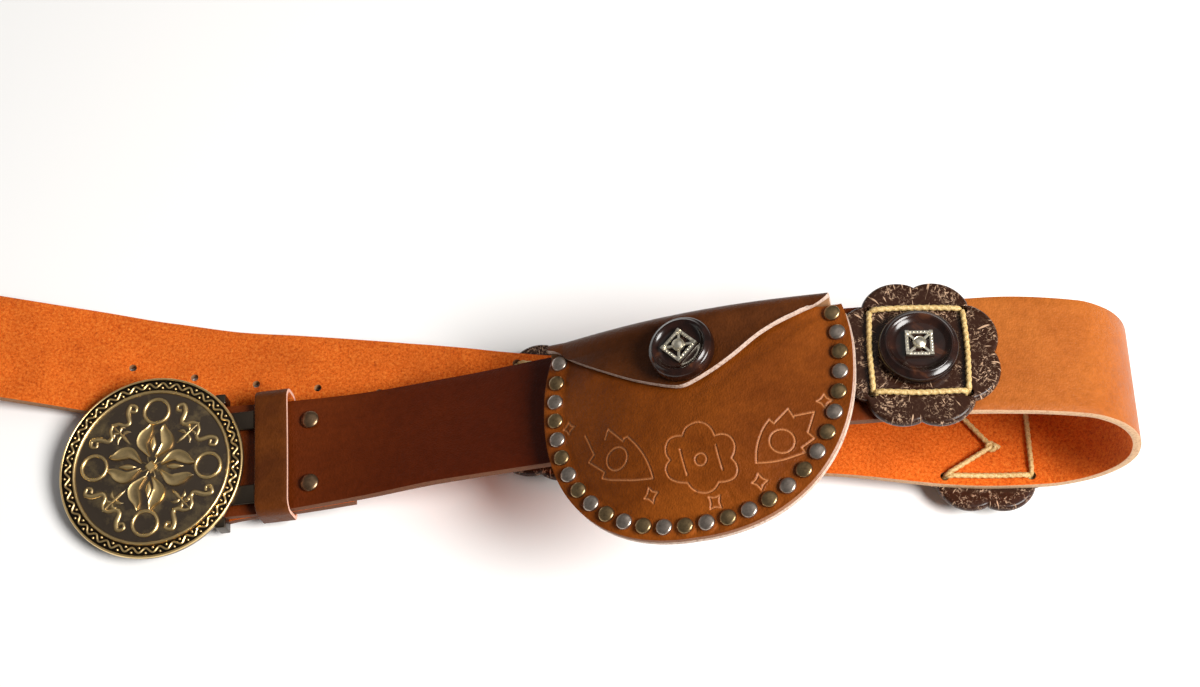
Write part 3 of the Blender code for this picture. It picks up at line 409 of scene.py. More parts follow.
def raw_edge(name, pale, brown):
    """The pale layered fibres of cut leather."""
    material, tree, shader = new_material(name, 0.85)
    fibres = grainy(tree, here(tree), 900.0, 5.0, 0.75)
    feed(tree, shader, Base_Color=ramp(tree, fibres, [(0.30, brown), (0.52, pale), (0.75, pale)]),
         Normal=bump(tree, fibres, 0.0002))
    return material


def shaded_along(material, source, stops):
    """Multiplies a material's colour by a ramp of some value: painted shade and highlight along a piece."""
    tree = material.node_tree
    base = tree.nodes["Principled BSDF"].inputs["Base Color"]
    tree.links.new(mixed(tree, base.links[0].from_socket, ramp(tree, source, stops)), base)


# Painted shade: the strap is darkened from the first flower on to the buckle, its cut edges too, and its cut edges
# along the tongue, where they turn from the light
strap_grain = hide_material("strap_grain", (0.44, 0.125, 0.020), (0.35, 0.090, 0.013))
cut_edge = raw_edge("cut_edge", (0.62, 0.40, 0.23), (0.38, 0.18, 0.09))
strap_painted_shade_stops = [(line.loop_end + 0.080, (1.0, 1.0, 1.0)), (line.loop_end + 0.125, (0.34, 0.20, 0.10)),
               (line.loop_end + 0.200, (0.19, 0.075, 0.025)), (line.length - 0.080, (0.22, 0.105, 0.035)),
               (line.length - 0.020, (0.28, 0.17, 0.08))]
edge_painted_shade_stops = [(0.0, (0.55, 0.42, 0.32)), (line.loop_end - 0.150, (0.55, 0.42, 0.32)),
              (line.loop_end - 0.080, (1.0, 1.0, 1.0)), (line.loop_end + 0.085, (1.0, 1.0, 1.0)),
              (line.loop_end + 0.120, (0.24, 0.12, 0.06))]
for material, stops in ((strap_grain, strap_painted_shade_stops), (cut_edge, edge_painted_shade_stops)):
    tree = material.node_tree
    shaded_along(material, along_x(tree, laid_out(tree)), stops)

strap_suede, tree, shader = new_material("strap_suede", 0.95, Specular_IOR_Level=0.1, Sheen_Weight=0.25,
                                         Sheen_Tint=(1.0, 0.5, 0.25, 1))
nap = grainy(tree, here(tree), 950.0, 6.0, 0.8)
nap_colour = ramp(tree, nap, [
    (0.32, (0.36, 0.042, 0.003)), (0.48, (0.76, 0.125, 0.008)), (0.64, (0.92, 0.25, 0.035))])
stroke = ramp(tree, grainy(tree, here(tree), 60.0, 3.0), [(0.35, (0.84, 0.82, 0.80)), (0.65, (1.0, 1.0, 1.0))])
feed(tree, shader, Base_Color=mixed(tree, nap_colour, stroke), Normal=bump(tree, nap, 0.0006))

TIP_LENGTH, ROW_STEP, FOLD_BACK = 0.016, 0.0024, 0.052
stations = [TIP_LENGTH * (i / 14) ** 1.6 for i in range(15)]
while stations[-1] < line.length - ROW_STEP:
    stations.append(stations[-1] + ROW_STEP)
stations[-1] = line.length
rows, lay = [], []
shares = np.linspace(-1, 1, 13)


def lay_row(middle, across, reach, distance):
    rows.append([middle + across * (reach * s) for s in shares])
    lay.append([(distance, reach * s) for s in shares])


for distance in stations:
    middle, along, across, grain = line.frame(distance)
    left = max(0.0, 1 - distance / TIP_LENGTH)
    reach = STRAP_WIDTH / 2 * max(0.30, 1 - left ** 2.2 * 0.70)
    lay_row(middle, across, reach, distance)
middle, along, across, grain = line.frame(line.length)
bar_centre = middle - grain * BAR_WRAP
for i in range(1, 13):
    angle = math.pi * i / 12
    centre = bar_centre + grain * BAR_WRAP * math.cos(angle) + along * BAR_WRAP * math.sin(angle)
    lay_row(centre, across, STRAP_WIDTH / 2, line.length + 0.001 * i)
for share in (0.04, 0.08, 0.12, 0.16, 0.21, 0.26, 0.4, 0.6, 0.8, 1.0):
    back = FOLD_BACK * share
    middle, along, across, grain = line.frame(line.length - back)
    closing = STRAP_THICKNESS + GAP
    ease = max(0.0, 1 - back / (BAR_WRAP * 4)) ** 2
    drop = closing + (2 * BAR_WRAP - closing) * ease
    lay_row(middle - grain * drop, across, STRAP_WIDTH / 2, line.length + 0.012 + back)
strap = held_object("leather_strap", strip_mesh("leather_strap", rows, lay),
                    (strap_grain, strap_suede, cut_edge))
wall(strap, STRAP_THICKNESS, 0.0, other=1, rim=2)

# Punched holes: five for the buckle's hook and four for each flower's cord
FLOWERS = {1: (0.103, 0.0, -6.0), 2: (-0.066, -0.0022, 0.0), 3: (-0.234, 0.0006, 4.0)}
LASH_REACH = 0.0165
LASH_CORNERS = tuple((x * LASH_REACH, y * LASH_REACH) for x, y in ((-1, -1), (1, -1), (1, 1), (-1, 1)))
FIRST_HOLE, HOLE_SPACING, HOLE_RADIUS, LASH_HOLE_RADIUS = 0.0888, 0.0254, 0.0015, 0.0017
punched = [(line.axes(FIRST_HOLE + HOLE_SPACING * i - line.loop_end), HOLE_RADIUS) for i in range(5)]
for distance, shift, turn in FLOWERS.values():
    punched += [(line.axes(distance, shift, 0.0, turn) @ Matrix.Translation((x, y, 0)), LASH_HOLE_RADIUS)
                for x, y in LASH_CORNERS]
hole_punch = held_object("hole_punch", pins("hole_punch", punched, 20, 0.012), (cut_edge,))
drilled(strap, hole_punch, "TRANSFER")
eased_edges(strap, 0.0006, finish=0)
as_piece(strap, "grain_leather", "strap", sharp=45)
bpy.data.objects.remove(hole_punch, do_unlink=True)

# Keeper. A narrow leather band round both layers of the strap behind the buckle, cut
# from the same hide, with a raw pinkish edge; it stands open above the strap.

keeper_edge = raw_edge("keeper_edge", (0.74, 0.44, 0.34), (0.52, 0.24, 0.15))
KEEPER_AT = line.length - line.loop_end - 0.0210
KEEPER_HALF_WIDTH, KEEPER_WALL, KEEPER_SAG = 0.0064, 0.0016, 0.0004
keeper_corners = ((0.0255, 0.0059, 0, 0.00396), (-0.0231, 0.0059, 1, 0.00396),
                  (-0.0231, -0.0054, 2, 0.0012), (0.0255, -0.0054, 3, 0.00396))
ring = []
for y, z, quarter, corner in keeper_corners:
    for step in range(9):
        angle = math.pi / 2 * (quarter + step / 8)
        ring.append((y - math.copysign(corner, y) + corner * math.cos(angle),
                     z - math.copysign(corner, z) + corner * math.sin(angle)))
rows = []
for (y, z), (next_y, next_z) in zip(ring, ring[1:] + ring[:1]):
    span = math.hypot(next_y - y, next_z - z)
    steps = max(1, round(span / 0.0025))
    for i in range(steps):
        t = i / steps
        sag = -KEEPER_SAG * math.sin(math.pi * t) * (span > 0.02) * (z > 0)
        rows.append([(x, y + (next_y - y) * t, z + (next_z - z) * t + sag)
                     for x in np.linspace(KEEPER_HALF_WIDTH, -KEEPER_HALF_WIDTH, 7)])
keeper_grain = hide_material("keeper_grain", (0.118, 0.029, 0.003), (0.076, 0.017, 0.002), clouds=60.0)
keeper = held_object("keeper_band", strip_mesh("keeper_band", rows, closed=True),
                     (keeper_grain, strap_suede, keeper_edge))
keeper.matrix_world = line.axes(KEEPER_AT)
wall(keeper, KEEPER_WALL, 1.0, other=1, rim=2)
eased_edges(keeper, 0.0003)
as_piece(keeper, "grain_leather", "keeper", sharp=45)

# Rivets. Two domed bronze rivets are set through the strap and its folded end, side by side
# across it, each with a flat washer head hammered down beneath.

# Worn bronze and nickel: dark in the hollows, rubbed bright where it stands up
worn_metal, given, worn_out = new_group("worn_metal", [
    ("Rubbed", "Float"), ("Dark", "Color"), ("Bright", "Color"), ("Grime", "Float")], SURFACE)
place = here(worn_metal)
grime = grainy(worn_metal, place, given["Grime"], 6.0, 0.65)
rub = put(worn_metal, "ShaderNodeMath", [(0, grime), (1, given["Rubbed"])], operation="ADD").outputs["Value"]
metal_colour = put(worn_metal, "ShaderNodeMixRGB", [("Fac", scaled(worn_metal, rub, 0.62, 1.12)),
                                                    ("Color1", given["Dark"]), ("Color2", given["Bright"])])
soot = grey(worn_metal, scaled(worn_metal, given["Rubbed"], -0.3, 0.0, 0.22, 1.0))
feed(worn_metal, worn_out, Color=mixed(worn_metal, metal_colour.outputs["Color"], soot),
     Roughness=scaled(worn_metal, grime, 0.3, 0.7, 0.44, 0.26), Height=grainy(worn_metal, place, 2600.0))


def metal_material(name, dark, bright, grime, rubbed=0.0):
    """Worn metal, rubbed by one share all over, or else where its mesh says so."""
    values = {"Dark": dark, "Bright": bright, "Grime": grime, "Rubbed": rubbed}
    material, tree, effect = covered(name, worn_metal, values, 0.00003, 0.35, Metallic=1.0)
    if not rubbed:
        raised = put(tree, "ShaderNodeAttribute", attribute_name="rubbed")
        tree.links.new(raised.outputs["Fac"], effect.inputs["Rubbed"])
    return material


def turned(name, profile, steps):
    """A solid turned round Z; the profile runs from the top of the axis to its foot."""
    rows = [[(radius * math.cos(a), radius * math.sin(a), height) for radius, height in profile]
            for a in (2 * math.pi * i / steps for i in range(steps))]
    return closed_mesh(strip_mesh(name, rows, closed=True), 0.000001)


def domed(radius, height, steps, foot=0.0):
    return [(radius * math.sin(t), foot + height * math.cos(t)) for t in np.linspace(0, math.pi / 2, steps)]


rivet_bronze = metal_material("rivet_bronze", (0.14, 0.082, 0.045), (0.42, 0.27, 0.16), 420.0, 0.35)
RIVET_AT = line.length - line.loop_end - 0.0350
RIVET_RADIUS, RIVET_SHANK, RIVET_SPACING = 0.0036, 0.0012, 0.0267
top, foot = STRAP_THICKNESS / 2 + 0.0006, -(0.0045 + 0.0009)
for number, side in ((1, 1), (2, -1)):
    profile = domed(RIVET_RADIUS, 0.0013, 9, top + 0.0002)
    profile += [(RIVET_RADIUS, top), (RIVET_SHANK, top), (RIVET_SHANK, foot), (0.0024, foot), (0.0023, foot - 0.0008),
                (0.0, foot - 0.0008)]
    name = f"domed_rivet_{number}"
    rivet = held_object(name, turned(name, profile, 40), (rivet_bronze,))
    rivet.matrix_world = line.axes(RIVET_AT, side * RIVET_SPACING / 2)
    as_piece(rivet, "antique_brass", f"strap_rivet_{number}", sharp=50)

# Buckle. A cast bronze disc 73 mm across: a rim band with a running wave and beads, four
# plain rings, flame leaves and scroll sprigs, dark in the ground and rubbed gold on the
# relief. Behind it are the bar that the strap is folded round, its posts, lugs and hook.

BUCKLE_RADIUS, BUCKLE_THICKNESS = 0.0365, 0.0030
R = BUCKLE_RADIUS
middle, along, across, grain = line.frame(line.length)
square_on = Matrix((across.cross(grain), across, grain)).transposed().to_4x4()
disc_axes = (Matrix.Translation(middle + grain * (STRAP_THICKNESS / 2 + 0.0006)) @ square_on
             @ Matrix.Rotation(math.radians(-3.0), 4, "Y") @ Matrix.Translation((-0.0270, 0, 0)))
pattern_axes = disc_axes @ Matrix.Rotation(math.radians(-5.0), 4, "Z")
field, band = BUCKLE_THICKNESS - 0.0005, BUCKLE_THICKNESS - 0.0006
casting = bmesh.new()
rubbed_layer = casting.verts.layers.float.new("rubbed")


def cast_on(mesh, matrix, rubbed):
    """Adds a mesh to the casting. Rubbed is a share, or a function of a local point."""
    before = len(casting.verts)
    casting.from_mesh(mesh)
    casting.verts.ensure_lookup_table()
    fresh = casting.verts[before:]
    for vertex in fresh:
        vertex[rubbed_layer] = rubbed(vertex.co) if callable(rubbed) else rubbed
    bmesh.ops.transform(casting, matrix=matrix, verts=fresh)
    bpy.data.meshes.remove(mesh)


def on_disc(co):
    share = math.hypot(co.x, co.y) / R
    if co.z < field - 0.0002:
        return 0.12
    return 0.66 if share > 0.972 else 0.62 if 0.826 < share < 0.862 else -0.3 if share > 0.862 else 0.12


profile = [(0.0, field)] + [(R * s, field) for s in (0.2, 0.4, 0.6, 0.8, 0.822)]
profile += [(R * (0.842 + 0.016 * math.sin(t)), field + 0.0001 + 0.0008 * math.cos(t))
            for t in np.linspace(-1.45, 1.45, 9)]
profile += [(R * s, band - 0.0001) for s in (0.866, 0.92, 0.966)]
profile += [(R * (0.984 + 0.014 * math.sin(t)), band + 0.0001 + 0.0007 * math.cos(t))
            for t in np.linspace(-1.45, 1.35, 9)]
profile += [(R, BUCKLE_THICKNESS - 0.0010), (R * 0.992, 0.0006), (R * 0.965, 0.0), (0.0, 0.0)]
cast_on(turned("disc", profile, 160), disc_axes, on_disc)


def rope_mesh(name, points, radius, sides=8, closed=False, lobes=0.0, pitch=0.004):
    """A tube through points; with lobes it is laid up like twisted cord."""
    points = [Vector(p) for p in points]
    count = len(points)
    rows, turned_by = [], 0.0
    side = None
    for i, point in enumerate(points):
        ahead = points[(i + 1) % count] if closed or i < count - 1 else point
        behind = points[i - 1] if closed or i else point
        way = (ahead - behind).normalized()
        if side is None:
            side = way.orthogonal().normalized()
        side = (side - way * side.dot(way)).normalized()
        other = way.cross(side)
        if i:
            turned_by += 2 * math.pi * (point - points[i - 1]).length / pitch
        row = []
        for j in range(sides + 1):
            angle = 2 * math.pi * j / sides
            out = radius * (1 - lobes + lobes * abs(math.cos(angle - turned_by)))
            row.append(point + side * out * math.cos(angle) + other * out * math.sin(angle))
        rows.append(row)
    if not closed:
        rows = [[points[0]] * (sides + 1)] + rows + [[points[-1]] * (sides + 1)]
    return closed_mesh(strip_mesh(name, rows, closed=closed), 0.0000005)


def smooth_path(points, step):
    """Evenly spaced places on a smooth curve through chosen points."""
    points = np.array(points, float)
    ends = np.vstack((2 * points[0] - points[1], points, 2 * points[-1] - points[-2]))
    curve = []
    for i in range(1, len(ends) - 2):
        a, b, c, d = ends[i - 1:i + 3]
        for t in np.linspace(0, 1, 16, endpoint=False):
            curve.append(0.5 * (2 * b + (c - a) * t + (2 * a - 5 * b + 4 * c - d) * t ** 2
                                + (3 * b - a - 3 * c + d) * t ** 3))
    curve = np.array(curve + [points[-1]])
    lengths = np.concatenate(([0.0], np.cumsum(np.linalg.norm(np.diff(curve, axis=0), axis=1))))
    wanted = np.linspace(0.0, lengths[-1], max(3, round(lengths[-1] / step)))
    return np.array([np.interp(wanted, lengths, curve[:, k]) for k in range(curve.shape[1])]).T


ROUNDED = [(s, (1 - s * s) ** 0.5) for s in (-1.0, -0.85, -0.55, 0.0, 0.55, 0.85, 1.0)]
RIMMED = ((-1.0, 0.0), (-0.93, 1.0), (-0.78, 0.84), (-0.5, 0.62), (0.0, 0.56), (0.5, 0.62), (0.78, 0.84),
          (0.93, 1.0), (1.0, 0.0))


def leaf_mesh(points, widths, height, step=0.0006, section=ROUNDED):
    """A raised leaf or stem along a line, with a rounded back or with a rim round a hollow."""
    path = smooth_path([(*p, w) for p, w in zip(points, widths)], step)
    rows = []
    for i, (x, y, half) in enumerate(path):
        ahead, behind = path[min(i + 1, len(path) - 1)], path[max(i - 1, 0)]
        dx, dy = ahead[0] - behind[0], ahead[1] - behind[1]
        size = math.hypot(dx, dy) or 1.0
        half = max(half, 0.00012)
        lift = height * min(1.0, half / 0.0006)
        rows.append([(x - dy / size * half * s, y + dx / size * half * s, lift * rise - 0.0002)
                     for s, rise in section])
    return closed_mesh(strip_mesh("leaf", rows))


def quarter_turn(angle):
    return pattern_axes @ Matrix.Rotation(math.radians(angle), 4, "Z") @ Matrix.Translation((0, 0, field))


def raised_bright(co):
    return 0.28 + 0.60 * min(1.0, (max(0.0, co.z) / 0.0008) ** 2)


WAVES = 38
wave = []
for a in (2 * math.pi * i / 608 for i in range(608)):
    out = R * (0.915 + 0.025 * math.sin(WAVES * a))
    wave.append((out * math.cos(a), out * math.sin(a), band + 0.0002))
cast_on(rope_mesh("wave", wave, 0.00040, 6, closed=True), pattern_axes, 0.85)


def leaf(points, halves, matrix, height, step=0.0006, side=1, section=ROUNDED):
    """Casts a leaf on the disc; its places and half widths are shares of the disc's radius."""
    cast_on(leaf_mesh([(side * x * R, y * R) for x, y in points], [w * R for w in halves], height, step, section),
            matrix, raised_bright)


FLAME = ((0.027, 0.105), (0.080, 0.165), (0.135, 0.250), (0.122, 0.330), (0.084, 0.405), (0.070, 0.485))
SCROLL = ((0.240, 0.640), (0.275, 0.605), (0.315, 0.640), (0.275, 0.695), (0.205, 0.650), (0.150, 0.560),
          (0.095, 0.565), (0.055, 0.630), (0.0, 0.665))
SPRIGS = (((0.0, 0.50), (0.055, 0.50), (0.100, 0.455)), ((0.0, 0.54), (0.050, 0.575), (0.085, 0.540)))
STEM = ((0.012, 0.02), (0.045, 0.08), (0.048, 0.12))
for quarter in range(4):
    upright, diagonal = quarter_turn(90 * quarter), quarter_turn(90 * quarter + 45)
    ring_path = [(R * 0.135 * math.cos(a), R * 0.62 + R * 0.135 * math.sin(a), 0.0001)
                 for a in (2 * math.pi * i / 48 for i in range(48))]
    cast_on(rope_mesh("plain_ring", ring_path, 0.00068, 8, closed=True), upright, 0.60)
    for side in (-1, 1):
        leaf(FLAME, (0.008, 0.030, 0.062, 0.066, 0.042, 0.003), quarter_turn(90 * quarter - 4), 0.0011,
             side=side, section=RIMMED)
    leaf(((0, 0.16), (0, 0.25), (0, 0.36)), (0.003, 0.036, 0.003), upright, 0.0010)
    for side in (-1, 1):
        leaf(SCROLL, (0.020, 0.018, 0.020, 0.026, 0.031, 0.027, 0.024, 0.022, 0.018), diagonal, 0.0008, 0.0004, side)
        for sprig in SPRIGS:
            leaf(sprig, (0.008, 0.022, 0.004), diagonal, 0.0007, 0.0004, side)
    leaf(((0, 0.36), (0, 0.44), (0, 0.56), (0, 0.68)), (0.006, 0.021, 0.014, 0.012), diagonal, 0.0008, 0.0004)
    for side in (-1, 1):
        leaf(STEM, (0.012, 0.012, 0.008), upright, 0.0006, 0.0004, side)
diamond = bmesh.new()
bmesh.ops.create_cone(diamond, cap_ends=True, segments=4, radius1=R * 0.082, radius2=R * 0.055, depth=0.0011,
                      matrix=Matrix.Translation((0, 0, 0.0003)))
cast_on(mesh_from(diamond, "diamond"), quarter_turn(0), 0.80)

# The beads in the wave's bays, set out round the band by Geometry Nodes
beads, given, bead_out = new_group("rim_beads", [
    ("Radius", "Float"), ("Count", "Int"), ("Turn", "Float"), ("Bead", "Float")], [("Geometry", "Geometry")],
    "GeometryNodeTree")
bead_ring = put(beads, "GeometryNodeMeshCircle", [("Vertices", given["Count"]), ("Radius", given["Radius"])])
bead_turn = put(beads, "ShaderNodeCombineXYZ", [("Z", given["Turn"])])
bead_set = put(beads, "GeometryNodeTransform", [("Geometry", bead_ring.outputs["Mesh"]),
                                                ("Rotation", bead_turn.outputs["Vector"])])
bead = put(beads, "GeometryNodeMeshUVSphere", [("Radius", given["Bead"])], Segments=10, Rings=6)


def copies(tree, group_out, points, body, *finish, **ways):
    """Sets copies of a body on points, and ends the tree as a plain mesh with its finish."""
    sown = put(tree, "GeometryNodeInstanceOnPoints", [("Points", points), ("Instance", body), *ways.items()])
    real = put(tree, "GeometryNodeRealizeInstances", [("Geometry", sown.outputs["Instances"])])
    dressed = put(tree, "GeometryNodeSetMaterial", [("Geometry", real.outputs["Geometry"]),
                                                    *[("Material", socket) for socket in finish]])
    tree.links.new(dressed.outputs["Geometry"], group_out.inputs["Geometry"])


def set_tree(carrier, tree, values):
    """Hangs a Geometry Nodes tree on an object, with its named inputs set."""
    modifier = carrier.modifiers.new("grow", "NODES")
    modifier.node_group = tree
    for item in tree.interface.items_tree:
        if item.in_out == "INPUT" and item.name in values:
            modifier[item.identifier] = values[item.name]


copies(beads, bead_out, bead_set.outputs["Geometry"], bead.outputs["Mesh"])
for share, turn in ((0.888, 0.25), (0.942, 0.75)):
    carrier = held_object("beads", bpy.data.meshes.new("beads"))
    set_tree(carrier, beads, {"Radius": R * share, "Count": WAVES, "Turn": turn * 2 * math.pi / WAVES,
                              "Bead": 0.00054})
    mesh = evaluated_mesh(carrier)
    bpy.data.objects.remove(carrier, do_unlink=True)
    cast_on(mesh, pattern_axes @ Matrix.Translation((0, 0, band + 0.0001)), 0.80)

# Bar, posts, lugs and hook, soldered behind the disc
at_bar = Matrix.Translation(middle - grain * BAR_WRAP) @ square_on
post_out = STRAP_WIDTH / 2 + 0.0006 + 0.0020
UNRUBBED = -0.2


def cast_rod(radius, length, matrix, tip=None):
    work = bmesh.new()
    bmesh.ops.create_cone(work, cap_ends=True, segments=24, radius1=radius, radius2=tip or radius, depth=length)
    cast_on(mesh_from(work, "rod"), matrix, UNRUBBED)


def block_mesh(size, ease, segments):
    work = bmesh.new()
    bmesh.ops.create_cube(work, size=1.0, matrix=Matrix.Diagonal((*size, 1.0)))
    bmesh.ops.bevel(work, geom=work.edges[:], offset=ease, segments=segments, profile=0.6, affect="EDGES")
    return mesh_from(work, "block")


BAR_RADIUS, HOOK_RADIUS, HOOK_OUT = 0.0016, 0.0014, 0.0240
cast_rod(BAR_RADIUS, post_out * 2, at_bar @ Matrix.Rotation(math.pi / 2, 4, "X"))
post_foot = -BAR_RADIUS * 0.8
post_height = BAR_WRAP - post_foot + STRAP_THICKNESS / 2 + 0.0006 + BUCKLE_THICKNESS * 0.5
for side in (-1, 1):
    cast_on(block_mesh((0.0040, 0.0040, post_height), 0.0006, 3),
            at_bar @ Matrix.Translation((0, side * post_out, post_foot + post_height / 2)), UNRUBBED)
    cast_on(block_mesh((0.0110, 0.0075, 0.0014), 0.0005, 3),
            disc_axes @ Matrix.Translation((R * 0.96, side * 0.0150, 0.0009)), UNRUBBED)
normal = disc_axes.to_3x3() @ Vector((0, 0, 1))
hook_foot = disc_axes @ Vector((-HOOK_OUT, 0, 0))
drop = (hook_foot.z - HOOK_RADIUS * 1.3 * math.sqrt(1 - normal.z ** 2)) / normal.z
cast_rod(HOOK_RADIUS, drop + 0.0015, disc_axes @ Matrix.Translation((-HOOK_OUT, 0, (0.0015 - drop) / 2)), 0.0018)
buckle_bronze = metal_material("buckle_bronze", (0.15, 0.115, 0.085), (0.92, 0.67, 0.31), 90.0)
buckle = held_object("cast_buckle", mesh_from(casting, "cast_buckle"), (buckle_bronze,))
as_piece(buckle, "antique_brass", "buckle", sharp=50)

# Pouch. A flat back panel that folds over at the top and hangs down in front as a pointed
# flap, and a domed, tooled front panel riveted to it all round. Both are 1.8 mm leather
# with whitish raw edges. It rests on the strap and on the first flower's edge.

POUCH_HALF_WIDTH, POUCH_DEPTH, POUCH_RISE, POUCH_WALL = 0.0585, 0.0618, 0.0190, 0.0018
POUCH_BULGE, POUCH_ROUNDNESS, POUCH_TILT = 0.0085, 2.3, 3.0
FOLD_RISE, FOLD_REACH = 0.0175, 0.0052
BACK_INSIDE = STRAP_THICKNESS / 2 + GAP + POUCH_WALL
FRONT_EDGE = BACK_INSIDE + GAP + POUCH_WALL
pouch_axes = (line.axes(0.1810, -0.0012, POUCH_HALF_WIDTH * math.sin(math.radians(POUCH_TILT)))
              @ Matrix.Rotation(math.radians(-POUCH_TILT), 4, "Y"))


def side_width(rise):
    if rise >= 0:
        return POUCH_HALF_WIDTH * (1 - 0.05 * (rise / POUCH_RISE) ** 2)
    share = min(1.0, -rise / POUCH_DEPTH)
    return POUCH_HALF_WIDTH * (1 - share ** POUCH_ROUNDNESS) ** (1 / POUCH_ROUNDNESS)


def pouch_outline(inset, count):
    half_width, depth = POUCH_HALF_WIDTH - inset, POUCH_DEPTH - inset
    top = POUCH_RISE - inset * 0.8
    left = [(-half_width * (1 - 0.05 * (top * (1 - i / 12) / POUCH_RISE) ** 2), top * (1 - i / 12))
            for i in range(12)]
    for i in range(60):
        turn, power = math.pi / 2 * i / 60, 2 / POUCH_ROUNDNESS
        left.append((-half_width * math.cos(turn) ** power, -depth * math.sin(turn) ** power))
    points = np.array(left + [(0.0, -depth)] + [(-x, y) for x, y in left[::-1]])
    lengths = np.concatenate(([0.0], np.cumsum(np.linalg.norm(np.diff(points, axis=0), axis=1))))
    wanted = np.linspace(0.0, lengths[-1], count)
    return list(zip(np.interp(wanted, lengths, points[:, 0]), np.interp(wanted, lengths, points[:, 1])))


def pouch_rows(degrees, rises, columns, height):
    """Rows straight across the pouch, from its lowest point up to its mouth."""
    rows, power = [], 2 / POUCH_ROUNDNESS
    for turn in (math.radians(d) for d in degrees):
        rows.append([(u * POUCH_HALF_WIDTH * math.cos(turn) ** power, -POUCH_DEPTH * math.sin(turn) ** power,
                      height) for u in columns])
    return rows + [[(u * side_width(rise), rise, height) for u in columns] for rise in rises]


MIDDLE_Y = -0.30 * POUCH_DEPTH
rim = pouch_outline(0.0, 120)
rim += [(rim[-1][0] + (rim[0][0] - rim[-1][0]) * i / 30, rim[0][1]) for i in range(1, 30)]
polar = sorted((math.atan2(y - MIDDLE_Y, x), math.hypot(x, y - MIDDLE_Y)) for x, y in rim)
RIM_ANGLES, RIM_RADII = [p[0] for p in polar], [p[1] for p in polar]


def front_height(x, y):
    reach = float(np.interp(math.atan2(y - MIDDLE_Y, x), RIM_ANGLES, RIM_RADII, period=2 * math.pi))
    share = math.hypot(x, y - MIDDLE_Y) / reach
    dome = (1 - (share / 0.88) ** 2) ** 1.2 if share < 0.88 else 0.0
    t = min(1.0, max(0.0, (y + 0.012) / 0.030))
    mouth = 0.85 * max(0.0, 1 - (x / (POUCH_HALF_WIDTH * 0.86)) ** 2) * t * t * (3 - 2 * t)
    return FRONT_EDGE + POUCH_BULGE * (1 - (1 - dome) * (1 - mouth))


POUCH_TONES = ((0.285, 0.069, 0.006), (0.150, 0.032, 0.002))
pouch_hide = hide_material("pouch_hide", *POUCH_TONES, clouds=26.0, gloss=0.42)
flap_hide = hide_material("flap_hide", (0.150, 0.040, 0.007), (0.062, 0.016, 0.003), clouds=24.0, gloss=0.40)
flesh_side = hide_material("flesh_side", (0.44, 0.24, 0.12), (0.34, 0.17, 0.08), pores=700.0, gloss=0.9)
white_edge = raw_edge("white_edge", (0.58, 0.44, 0.36), (0.24, 0.12, 0.07))

# Lower edge of the flap from its left end to its right end, in millimetres
FLAP_EDGE = ((-56.8, 20.8), (-53.5, 19.8), (-50.5, 18.0), (-48, 15.6), (-39, 9.2), (-28.2, 2.9), (-19.5, -1.6),
             (-10.9, -5.2), (-2.5, -7.9), (2.6, -7.0), (10.9, -3.0), (19.4, 2.4), (27.3, 8.4), (35.8, 13.4),
             (42.5, 16.6), (46.8, 18.8), (49.6, 21.0), (51.0, 22.3))
flap_line = smooth_path(FLAP_EDGE, 0.8) / 1000
FLAP_LEFT, FLAP_RIGHT = flap_line[0][0], flap_line[-1][0]
columns = np.linspace(-1, 1, 121)
rows = pouch_rows([*np.linspace(87, 60, 10), *np.linspace(56, 4, 22)],
                  [FOLD_RISE * share for share in np.linspace(0.0, 0.92, 8)], columns, BACK_INSIDE)
flap_x = [FLAP_LEFT + (FLAP_RIGHT - FLAP_LEFT) * (u + 1) / 2 for u in columns]
EASE, ROLL_SIZE = 0.0010, 0.0050


def flap_point(x, share):
    """A place on the fold or on the flap that hangs from it, by its share of the way to the edge."""
    low = float(np.interp(x, flap_line[:, 0], flap_line[:, 1]))
    over = front_height(x, FOLD_RISE) + EASE
    last = math.pi - math.asin(min(1.0, max(0.0, low - FOLD_RISE) / FOLD_REACH))
    rolled, hanging = last * ROLL_SIZE, max(0.0, FOLD_RISE - low)
    way = share * (rolled + hanging)
    if way <= rolled:
        turn = way / ROLL_SIZE
        return (x, FOLD_RISE + FOLD_REACH * math.sin(turn),
                (BACK_INSIDE + over) / 2 - (over - BACK_INSIDE) / 2 * math.cos(turn))
    y = FOLD_RISE - (way - rolled)
    lift = 0.0010 * ((way - rolled) / hanging) ** 3 * max(0.0, 1 - abs(x - 0.022) / 0.03)
    return (x, y, front_height(x, y) + EASE + lift)


rows += [[flap_point(x, share) for x in flap_x] for share in np.linspace(0.025, 1.0, 40)]
back = held_object("pouch_back_and_flap", strip_mesh("pouch_back_and_flap", rows),
                   (flesh_side, flap_hide, white_edge))
back.matrix_world = pouch_axes
wall(back, POUCH_WALL, -1.0, other=1, rim=2)
eased_edges(back, 0.0006, finish=1)
as_piece(back, "pouch_leather", "pouch_back_flap", sharp=50)

# Tooled lines on the front panel, in millimetres: a six-lobed rosette round a square, two
# tulips with rings, and small four-pointed stars, pressed into the damp leather
tooled = []


def tool(points):
    tooled.extend(zip(points, points[1:]))


def arc(cx, cy, radius, start, stop, steps=24):
    return [(cx + radius * math.cos(math.radians(a)), cy + radius * math.sin(math.radians(a)))
            for a in np.linspace(start, stop, steps)]


